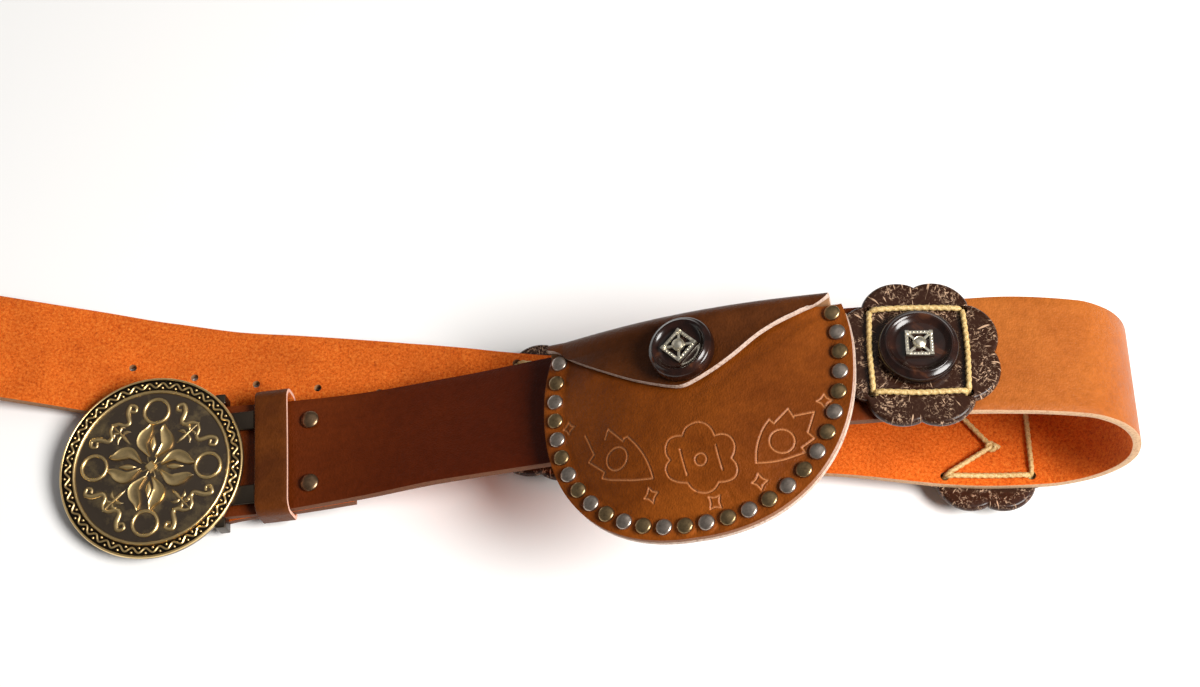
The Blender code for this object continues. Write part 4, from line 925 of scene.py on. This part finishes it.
CURVED_LINES = (
    ((-1.9, -26.4), (-0.6, -23.9), (2.0, -22.5), (4.6, -22.4), (7.2, -23.7), (9.0, -25.9), (9.9, -28.3)),
    ((9.9, -28.3), (12.7, -28.1), (15.3, -29.4), (16.6, -32.2), (16.3, -35.0), (15.2, -37.0)),
    ((15.2, -37.0), (16.5, -38.9), (16.8, -41.3), (15.5, -43.5), (12.7, -44.4), (9.9, -44.4)),
    ((9.9, -44.4), (8.0, -46.4), (5.2, -47.2), (2.3, -46.6), (0.0, -45.1), (-1.3, -43.1)),
    ((-1.3, -43.1), (-4.8, -42.2), (-7.6, -40.5), (-8.8, -38.0), (-8.4, -35.8), (-7.0, -34.3)),
    ((-7.0, -34.3), (-8.3, -31.8), (-8.1, -28.9), (-6.7, -26.7), (-4.2, -26.0), (-1.9, -26.4)),
    ((-23.0, -22.1), (-19.9, -25.8), (-16.9, -30.4), (-14.9, -35.2), (-13.9, -39.4)),
    ((-34.0, -34.9), (-30.4, -36.4), (-23.0, -38.2), (-18.5, -38.9), (-13.9, -39.4)),
    ((28.9, -24.2), (26.7, -27.3), (24.9, -31.3), (23.8, -35.3), (23.4, -39.4)),
    ((23.4, -39.4), (27.8, -39.4), (32.5, -38.8), (36.8, -37.6), (39.9, -36.7)),
)
STRAIGHT_LINES = (
    ((-3.1, -31.1), (-2.2, -35.7), (-1.3, -40.5)),
    ((10.0, -31.6), (10.7, -35.9), (11.6, -40.5)),
    ((-40.9, -16.9), (-37.1, -25.3), (-39.4, -27.6), (-32.9, -33.0), (-34.0, -34.9)),
    ((-32.3, -20.7), (-30.9, -17.2), (-24.9, -23.4), (-24.3, -22.4), (-23.0, -22.1)),
    ((39.9, -36.7), (38.9, -34.9), (43.4, -31.9), (41.3, -29.7), (44.0, -22.3)),
    ((28.9, -24.2), (30.4, -25.8), (35.4, -20.5), (37.1, -24.0)),
    ((37.3, -23.3), (44.0, -22.3)),
)
CREASES = (
    ((-2.9, -31.2), (9.6, -31.7)),
    ((-0.9, -39.9), (11.5, -40.2)),
    ((-12.6, -46.8), (-5.5, -46.8), (0.9, -46.4)),
    ((-1.9, -10.4), (-0.4, -11.8), (2.1, -10.6), (6.0, -9.6)),
    ((24.5, -41.5), (33.0, -40.9)),
    ((12.3, -47.3), (13.8, -51.2)),
)
for points in CURVED_LINES:
    tool([tuple(point) for point in smooth_path(points, 0.9)])
for points in STRAIGHT_LINES:
    tool(points)
for x, y, radius in ((4.3, -35.9, 2.1), (-27.6, -29.3, 4.2), (32.6, -32.3, 4.2)):
    tool(arc(x, y, radius, 0, 360, 28))
for x, y, size, lean in (
        (-15.4, -44.9, 2.7, 12), (7.5, -50.6, 2.8, 45), (23.8, -45.6, 2.7, 4), (47.6, -18.4, 2.6, 0),
        (-48.0, -11.9, 2.4, 0)):
    points = []
    for corner in range(4):
        a0, a1 = math.radians(90 * corner + lean), math.radians(90 * corner + 90 + lean)
        for t in np.linspace(0, 1, 6, endpoint=False):
            pull = (1 - 0.24 * math.sin(math.pi * t)) * size
            points.append((x + (math.cos(a0) * (1 - t) + math.cos(a1) * t) * pull,
                           y + (math.sin(a0) * (1 - t) + math.sin(a1) * t) * pull))
    tool(points + points[:1])
tooled_lines = np.array(tooled)
crease_lines = np.array([pair for points in CREASES for pair in zip(points, points[1:])])


def line_distance(points, lines):
    """Distance in millimetres from each point to the nearest of some lines."""
    nearest = np.full(len(points), 99.0)
    for (ax, ay), (bx, by) in lines:
        dx, dy = bx - ax, by - ay
        t = np.clip(((points[:, 0] - ax) * dx + (points[:, 1] - ay) * dy) / (dx * dx + dy * dy + 1e-12), 0, 1)
        nearest = np.minimum(nearest, np.hypot(points[:, 0] - ax - dx * t, points[:, 1] - ay - dy * t))
    return nearest


rows = pouch_rows([*np.linspace(87, 62, 14), *np.linspace(60, 2, 56)],
                  [POUCH_RISE * share for share in np.linspace(0.0, 1.0, 18)], np.linspace(-1, 1, 131), 0.0)
panel = strip_mesh("pouch_front_panel", rows)
work = bmesh.new()
work.from_mesh(panel)
for reach in (1.7, 1.0):
    flat = np.array([(v.co.x * 1000, v.co.y * 1000) for v in work.verts])
    near = line_distance(flat, tooled_lines) < reach
    work.verts.ensure_lookup_table()
    edges = [e for e in work.edges if near[e.verts[0].index] and near[e.verts[1].index]]
    bmesh.ops.subdivide_edges(work, edges=edges, cuts=1, use_grid_fill=True)
    work.verts.index_update()
bmesh.ops.recalc_face_normals(work, faces=work.faces)
if sum(face.normal.z for face in work.faces) < 0:
    bmesh.ops.reverse_faces(work, faces=work.faces)
pressed = work.verts.layers.float.new("pressed")
flat = np.array([(v.co.x * 1000, v.co.y * 1000) for v in work.verts])
to_line, to_crease = line_distance(flat, tooled_lines), line_distance(flat, crease_lines)
STUDS, STUD_INSET, STUD_RADIUS, STUD_HEIGHT, DIMPLE = 28, 0.0046, 0.0029, 0.0017, 0.0043
stud_places = []
for number, (x, y) in enumerate(pouch_outline(STUD_INSET, STUDS), start=1):
    low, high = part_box(f"pouch_stud_{number:02d}")
    seat = (pouch_axes.inverted() @ ((Vector(low) + Vector(high)) / 2)).z - STUD_HEIGHT / 2
    stud_places.append((x, y, seat))
for vertex, distance, crease in zip(work.verts, to_line, to_crease):
    x, y = vertex.co.x, vertex.co.y
    level = front_height(x, y)
    dome = min(1.0, (level - FRONT_EDGE) / 0.003)
    groove = math.exp(-(distance / 0.27) ** 2)
    lip = math.exp(-((distance - 0.62) / 0.26) ** 2)
    slack = 0.0007 * noise.noise(Vector((x * 38, y * 38, 3.0)))
    slack += 0.0002 * noise.noise(Vector((x * 120, y * 120, 9.0)))
    level += slack * dome - 0.00036 * groove + 0.00009 * lip - 0.00030 * math.exp(-(crease / 0.6) ** 2)
    for stud_x, stud_y, seat in stud_places:
        away = math.hypot(x - stud_x, y - stud_y)
        if away < DIMPLE:
            share = min(1.0, (DIMPLE - away) / 0.0012)
            level += (seat - level) * share * share * (3 - 2 * share)
    vertex.co.z = level
    vertex[pressed] = groove
work.to_mesh(panel)
work.free()
tooled_hide = hide_material("tooled_hide", *POUCH_TONES, clouds=26.0, gloss=0.42)
# The tooled grooves are painted paler: a painted highlight along the lines
tree = tooled_hide.node_tree
base = tree.nodes["Principled BSDF"].inputs["Base Color"]
in_line = put(tree, "ShaderNodeAttribute", attribute_name="pressed").outputs["Fac"]
line_painted_highlight = put(tree, "ShaderNodeMixRGB", [("Fac", scaled(tree, in_line, 0.0, 1.0, 0.0, 0.62)),
                                       ("Color1", base.links[0].from_socket)], Color2=(0.74, 0.32, 0.13, 1))
tree.links.new(line_painted_highlight.outputs["Color"], base)
panel_edge = raw_edge("panel_edge", (0.64, 0.46, 0.38), (0.30, 0.15, 0.09))
# The panel's cut edge is painted darker along most of its length and near white at its right end: painted shade, and
# a painted highlight where the light from the right falls
tree, middle_x = panel_edge.node_tree, pouch_axes.translation.x
shaded_along(panel_edge, scaled(tree, along_x(tree, here(tree)), middle_x - 0.060, middle_x + 0.060), [
    (0.0, (0.34, 0.19, 0.10)), (0.80, (0.40, 0.23, 0.13)), (0.97, (0.92, 0.92, 0.92))])
front = held_object("pouch_front_panel", panel, (tooled_hide, flesh_side, panel_edge))
front.matrix_world = pouch_axes
wall(front, POUCH_WALL, -1.0, other=1, rim=2)
eased_edges(front, 0.0006, finish=0)
as_piece(front, "pouch_leather", "pouch_front", sharp=60)

# Studs. Twenty-eight domed rivets hold the front to the back round its edge, nickel and
# aged brass in turn; each is pressed a little into the leather.

nickel = metal_material("nickel", (0.13, 0.10, 0.08), (0.68, 0.58, 0.50), 380.0, 0.44)
stud_brass = metal_material("stud_brass", (0.13, 0.088, 0.045), (0.56, 0.39, 0.20), 420.0, 0.38)
stud_rows, given, stud_out = new_group("stud_row", [
    ("Places", "Geometry"), ("Stud", "Object"), ("Size", "Float"), ("Finish", "Material")],
    [("Geometry", "Geometry")], "GeometryNodeTree")
stud_body = put(stud_rows, "GeometryNodeObjectInfo", [("Object", given["Stud"])])
stud_way = put(stud_rows, "GeometryNodeInputNormal")
stud_turn = put(stud_rows, "FunctionNodeAlignRotationToVector", [("Vector", stud_way.outputs["Normal"])], axis="Z")
copies(stud_rows, stud_out, given["Places"], stud_body.outputs["Geometry"], given["Finish"],
       Rotation=stud_turn.outputs["Rotation"], Scale=given["Size"])
STUD_PROFILE = [(math.sin(t), 0.42 * math.cos(t) ** 0.62 + 0.16) for t in np.linspace(0, math.pi / 2, 9)]
stud = held_object("one_stud", turned("one_stud", STUD_PROFILE + [(1.0, 0.0), (0.95, -0.06), (0.0, -0.06)], 24))
stud.data.shade_smooth()
for kind, finish, first in (("nickel", nickel, 0), ("brass", stud_brass, 1)):
    spots = bmesh.new()
    for x, y, seat in stud_places[first::2]:
        spots.faces.new([spots.verts.new(pouch_axes @ Vector((x + dx, y + dy, seat)))
                         for dx, dy in ((0.0001, 0), (-0.00005, 0.00009), (-0.00005, -0.00009))])
    carrier = held_object(f"{kind}_studs", mesh_from(spots, f"{kind}_studs"))
    set_tree(carrier, stud_rows, {"Stud": stud, "Size": STUD_RADIUS, "Finish": finish})
    as_piece(carrier, "nickel" if kind == "nickel" else "antique_brass",
             *[f"pouch_stud_{n + 1:02d}" for n in range(first, STUDS, 2)], sharp=50)
bpy.data.objects.remove(stud, do_unlink=True)

# Belt loop. A plain band of the pouch leather behind the pouch; the strap runs through it,
# so the pouch can slide along. It is hidden in the photo, and is a guess.

BAND_HALF_WIDTH, BAND_WALL = 0.025, 0.0016
tilt = math.sin(math.radians(POUCH_TILT))
outer = STRAP_WIDTH / 2 + 0.0006 + 0.0012
loop_low = -(STRAP_THICKNESS / 2 + POUCH_HALF_WIDTH * tilt + BAND_HALF_WIDTH * tilt + 0.0010)
loop_top, corner = BACK_INSIDE - POUCH_WALL - GAP, 0.0015
side = [(outer, z) for z in np.linspace(loop_top, loop_low + corner, 5)]
side += [(outer - corner + corner * math.cos(t), loop_low + corner - corner * math.sin(t))
         for t in np.linspace(0.2, math.pi / 2, 6)]
path = side + [(y, loop_low) for y in np.linspace(outer - 2 * corner, -(outer - 2 * corner), 12)]
path += [(-y, z) for y, z in side[::-1]]
rows = [[(x, y, z) for x in np.linspace(-BAND_HALF_WIDTH, BAND_HALF_WIDTH, 13)] for y, z in path]
belt_loop = held_object("belt_loop_band", strip_mesh("belt_loop_band", rows), (pouch_hide, flesh_side, cut_edge))
belt_loop.matrix_world = pouch_axes
wall(belt_loop, BAND_WALL, 1.0, other=1, rim=2)
eased_edges(belt_loop, 0.0003)
as_piece(belt_loop, "pouch_leather", "pouch_belt_loop", sharp=45)

# Shell flowers. Plates cut from coconut shell with eight lobes, polished and lacquered,
# lashed to the strap through four holes; pale fibres run through the dark shell.

coconut, tree, shader = new_material("coconut", 0.34, Coat_Weight=0.16, Coat_Roughness=0.10,
                                     Specular_IOR_Level=0.16)
place = here(tree)
cells = put(tree, "ShaderNodeTexVoronoi", [("Vector", place)], Scale=240.0)
laid = put(tree, "ShaderNodeVectorRotate", [
    ("Vector", place), ("Angle", scaled(tree, along_x(tree, cells.outputs["Color"]), 0.0, 1.0, 0.0, 6.3))],
    rotation_type="Z_AXIS")
along_fibre = put(tree, "ShaderNodeMapping", [("Vector", laid.outputs["Vector"])], Scale=(1300.0, 430.0, 860.0))
round_plate = put(tree, "ShaderNodeMapping", [("Vector", laid_out(tree))], Scale=(22.0, 130.0, 1.0))
black, white = (0.0, 0.0, 0.0), (1.0, 1.0, 1.0)
fibres = ramp(tree, grainy(tree, along_fibre.outputs["Vector"], 1.0), [(0.60, black), (0.68, (0.9, 0.9, 0.9))])
flecks = ramp(tree, grainy(tree, place, 900.0, 3.0, 0.65, 0.8), [(0.55, black), (0.66, white)])
patches = ramp(tree, grainy(tree, place, 170.0), [(0.42, (0.04, 0.04, 0.04)), (0.62, white)])
spokes = ramp(tree, grainy(tree, round_plate.outputs["Vector"], 1.0, 1.0), [
    (0.655, black), (0.70, (0.95, 0.95, 0.95))])
marks = mixed(tree, mixed(tree, mixed(tree, fibres, flecks, "LIGHTEN"), patches), spokes, "LIGHTEN")
shell_colour = put(tree, "ShaderNodeMixRGB", [("Fac", marks)], Color1=(0.028, 0.009, 0.004, 1),
                   Color2=(0.56, 0.36, 0.23, 1))
feed(tree, shader, Base_Color=shell_colour.outputs["Color"], Normal=bump(tree, marks, 0.00015))

PLATE_RADIUS, PLATE_THICKNESS = 0.0297, 0.0040
CORD_RADIUS = 0.0011


def flower_plate(name):
    """A lobed plate with rolled edges, standing on z = 0; its four lash holes are drilled afterwards."""
    rows, lay = [], []
    for i in range(8 * 20):
        angle = 2 * math.pi * i / 160
        swell = abs(math.sin(angle * 4)) ** 0.78
        reach = PLATE_RADIUS * (0.900 + 0.100 * swell)
        row = []
        for share in (0.0, 0.25, 0.5, 0.7, 0.85):
            row.append((reach * share * math.cos(angle), reach * share * math.sin(angle), PLATE_THICKNESS))
        for t in np.linspace(0.1, math.pi - 0.1, 10):
            out = reach - 0.0016 + 0.0016 * math.sin(t)
            row.append((out * math.cos(angle), out * math.sin(angle), PLATE_THICKNESS / 2 * (1 + math.cos(t))))
        for share in (0.85, 0.5, 0.0):
            row.append((reach * share * math.cos(angle), reach * share * math.sin(angle), 0.0))
        rows.append(row)
        lay.append([(angle, math.hypot(x, y)) for x, y, z in row])
    return held_object(name, closed_mesh(strip_mesh(name, rows, lay, closed=True), 0.000002), (coconut,))


lash_mesh = pins("lash_drill", [(Matrix.Translation((x, y, 0)), 0.0018) for x, y in LASH_CORNERS], 24, 0.02)

# Cord. Golden waxed cord, two strands twisted, is drawn tight in a square through the
# holes of each shell plate and the strap, and knotted on the suede side.

cord_gold, tree, shader = new_material("cord_gold", 0.42)
strands = grainy(tree, here(tree), 1600.0, 4.0, 0.7)
feed(tree, shader, Normal=bump(tree, strands, 0.0002), Base_Color=ramp(tree, strands, [
    (0.30, (0.34, 0.19, 0.050)), (0.50, (0.62, 0.42, 0.16)), (0.70, (0.84, 0.67, 0.34))]))

# Buttons and ornaments. Turned horn buttons with a stepped rim round a shallow dish. In each
# dish sits a small square open-work ornament with a round glass stone, which is shown here
# in the ornament's own pale metal.

horn, tree, shader = new_material("horn", 0.20, Coat_Weight=0.15, Coat_Roughness=0.08,
                                  Specular_IOR_Level=0.35)
feed(tree, shader, Base_Color=ramp(tree, grainy(tree, here(tree), 90.0, 4.0, 0.5, 1.2), [
    (0.40, (0.010, 0.004, 0.003)), (0.60, (0.024, 0.008, 0.005)), (0.74, (0.090, 0.030, 0.012))]))
pale_metal = metal_material("pale_metal", (0.46, 0.38, 0.26), (1.0, 0.95, 0.80), 900.0, 0.52)
BUTTON_SEAT = 0.0042


def horn_button(name, radius, matrix, node):
    h, dish = 0.0060, 0.0018
    seat = h - dish
    profile = [(0.0, seat)] + [(radius * s, seat) for s in (0.3, 0.50, 0.56)]
    profile += [(radius * (0.56 + 0.21 * t), seat + dish * 0.86 * t ** 2) for t in (0.25, 0.5, 0.75, 0.9, 1.0)]
    profile += [(radius * (0.81 + 0.035 * math.sin(t)), h - 0.0003 + 0.0003 * math.cos(t))
                for t in np.linspace(-1.3, 1.3, 7)]
    profile += [(radius * (0.90 + 0.10 * math.sin(t)), h * 0.42 + h * 0.42 * math.cos(t))
                for t in np.linspace(0.15, math.pi / 2, 8)]
    profile += [(radius * 0.985, h * 0.18), (radius * 0.96, 0.0), (0.0, 0.0)]
    button = held_object(name, turned(name, profile, 72), (horn,))
    button.matrix_world = matrix
    as_piece(button, "horn_button", node, sharp=60)


def take(work, mesh):
    work.from_mesh(mesh)
    bpy.data.meshes.remove(mesh)


def ornament(name, matrix, node):
    """A square frame, four arms to its corners and a ring that holds the stone."""
    size, height = 0.0098, 0.0026
    work = bmesh.new()
    half, bar = size / 2, size * 0.13

    def block(dx, dy, dz, place):
        mesh = block_mesh((dx, dy, dz), min(dx, dy, dz) * 0.22, 2)
        mesh.transform(place)
        take(work, mesh)

    for quarter in range(4):
        turn = Matrix.Rotation(math.pi / 2 * quarter, 4, "Z")
        block(size, bar, height * 0.5, turn @ Matrix.Translation((0, half - bar / 2, height * 0.25)))
        block(size * 0.52, bar * 0.8, height * 0.42,
              turn @ Matrix.Rotation(math.pi / 4, 4, "Z") @ Matrix.Translation((size * 0.38, 0, height * 0.22)))
        block(bar * 1.1, bar * 1.1, height * 0.26,
              turn @ Matrix.Translation((half - bar * 0.6, half - bar * 0.6, height * 0.52)))
        for grain_at in np.linspace(-0.32, 0.32, 6):
            bmesh.ops.create_icosphere(work, subdivisions=1, radius=size * 0.032,
                                       matrix=turn @ Matrix.Translation(
                                           (size * grain_at, half - bar / 2, height * 0.5)))
    bezel = [(size * (0.212 + 0.026 * math.cos(a)), height * 0.66 + size * 0.03 * math.sin(a))
             for a in np.linspace(0, 2 * math.pi, 9)]
    collar = [(0.0, height * 0.6), (size * 0.22, height * 0.6), (size * 0.225, 0.0002), (0.0, 0.0002)]
    stone = [(0.0, height), (size * 0.10, height * 0.97), (size * 0.17, height * 0.82),
             (size * 0.195, height * 0.60), (0.0, height * 0.55)]
    take(work, turned("bezel", bezel, 24))
    take(work, turned("collar", collar, 24))
    take(work, turned("stone", stone, 12))
    obj = held_object(name, mesh_from(work, name), (pale_metal,))
    obj.matrix_world = matrix
    as_piece(obj, "silver_gilt", node, sharp=35)


def strap_back(place, axes, x, y):
    """Height of the strap's other side under a point of a flower."""
    distance, shift, turn = place
    lean = math.radians(turn)
    middle, along, across, grain = line.frame(line.loop_end + distance - (x * math.cos(lean) - y * math.sin(lean)))
    point = middle + across * (shift + x * math.sin(lean) + y * math.cos(lean)) - grain * (STRAP_THICKNESS / 2)
    return (axes.inverted() @ point).z


def lay_cord(work, points, step=0.00055, radius=CORD_RADIUS):
    take(work, rope_mesh("run", smooth_path(points, step), radius, 10, lobes=0.28, pitch=0.0052))


def lashing(number, place, axes, plate_top):
    """Runs of cord on the plate and behind the strap, each bent down into its holes."""
    work = bmesh.new()
    front_z = plate_top + CORD_RADIUS * 0.95
    corners = list(LASH_CORNERS)
    spans = list(zip(corners, corners[1:] + corners[:1]))
    runs = []
    for (x0, y0), (x1, y1) in spans:
        away = Vector((x1 - x0, y1 - y0)).normalized()
        bow = Vector((-away.y, away.x)) * 0.0005
        ax, ay = x0 + away.x * 0.0013, y0 + away.y * 0.0013
        bx, by = x1 - away.x * 0.0013, y1 - away.y * 0.0013
        runs.append([(ax, ay, front_z - 0.0045), (ax, ay, front_z - 0.0020),
                     (ax + away.x * 0.0013, ay + away.y * 0.0013, front_z),
                     ((ax + bx) / 2 - bow.x, (ay + by) / 2 - bow.y, front_z),
                     (bx - away.x * 0.0013, by - away.y * 0.0013, front_z), (bx, by, front_z - 0.0020),
                     (bx, by, front_z - 0.0045)])

    def lower(x, y):
        return strap_back(place, axes, x, y) - CORD_RADIUS * 0.95

    if number == 2:
        spans = [(corners[0], corners[1]), (corners[0], corners[3])]
    for (x0, y0), (x1, y1) in spans:
        away = Vector((x1 - x0, y1 - y0)).normalized()
        run = []
        for t, into in ((0.02, 0.0042), (0.03, 0.0018), (0.08, 0.0), (0.3, 0.0), (0.5, 0.0), (0.7, 0.0),
                        (0.92, 0.0), (0.97, 0.0018), (0.98, 0.0042)):
            x, y = x0 + (x1 - x0) * t, y0 + (y1 - y0) * t
            run.append((x, y, lower(x, y) + into))
        runs.append(run)
    for run in runs:
        lay_cord(work, run)
    if number == 2:
        # The two ends are knotted on the suede side, and a short end is left over
        knot = Vector((-0.0019, -0.0049))
        for x0, y0 in ((0.0140, 0.0150), corners[1]):
            start = Vector((x0, y0))
            away = knot - start
            run = [(x0, y0, lower(x0, y0) + 0.0040),
                   (x0 + away.x * 0.04, y0 + away.y * 0.04, lower(x0, y0) + 0.0010)]
            for t in (0.12, 0.35, 0.6, 0.85, 1.0):
                x, y = x0 + away.x * t, y0 + away.y * t
                run.append((x, y, lower(x, y) - 0.0002 - 0.0010 * t))
            lay_cord(work, run)
        kz = lower(knot.x, knot.y) - 0.0010
        knot_path = [(knot.x + 0.0013 * math.cos(a) * (1 + 0.3 * math.sin(2 * a)),
                      knot.y + 0.0013 * math.sin(a), kz + 0.0006 * math.sin(1.5 * a)) for a in np.linspace(0, 9, 22)]
        for path in (knot_path, [(knot.x, knot.y, kz), (knot.x - 0.0018, knot.y + 0.0006, kz),
                                 (knot.x - 0.0032, knot.y - 0.0004, kz + 0.0004)]):
            lay_cord(work, path, 0.0005, CORD_RADIUS * 0.9)
    name = f"lashing_{number}"
    obj = held_object(name, mesh_from(work, name), (cord_gold,))
    obj.matrix_world = axes
    as_piece(obj, "flat_cord", f"lashing_cord_{number}")


for number, flower in FLOWERS.items():
    distance, shift, turn = flower
    axes = line.axes(distance, shift, 0.0, turn)
    plate_foot = STRAP_THICKNESS / 2 + GAP
    plate = flower_plate(f"shell_plate_{number}")
    drill = held_object("lash_drill", lash_mesh)
    plate.matrix_world = axes @ Matrix.Translation((0, 0, plate_foot))
    drill.matrix_world = plate.matrix_world
    drilled(plate, drill)
    as_piece(plate, "coconut_shell", f"shell_flower_{number}", sharp=40)
    bpy.data.objects.remove(drill, do_unlink=True)
    plate_top = plate_foot + PLATE_THICKNESS
    lashing(number, flower, axes, plate_top)
    horn_button(f"horn_button_{number}", 0.0142, axes @ Matrix.Translation((0, 0, plate_top + GAP)),
                f"flower_button_{number}")
    ornament(f"square_ornament_{number}", axes @ Matrix.Translation((0, 0, plate_top + 2 * GAP + BUTTON_SEAT)),
             f"flower_ornament_{number}")

# The flap's own button, with its ornament turned on its corner
flap_y, flap_reach = 0.0052, 0.0121
flap_top = max(front_height(dx, flap_y + dy) for dx in (-flap_reach, 0, flap_reach)
               for dy in (-flap_reach, 0, flap_reach)) + EASE
flap_foot = flap_top + POUCH_WALL + GAP
horn_button("flap_horn_button", flap_reach, pouch_axes @ Matrix.Translation((0, flap_y, flap_foot)), "flap_button")
ornament("flap_square_ornament", pouch_axes @ Matrix.Translation((0, flap_y, flap_foot + GAP + BUTTON_SEAT))
         @ Matrix.Rotation(math.pi / 4, 4, "Z"), "flap_ornament")
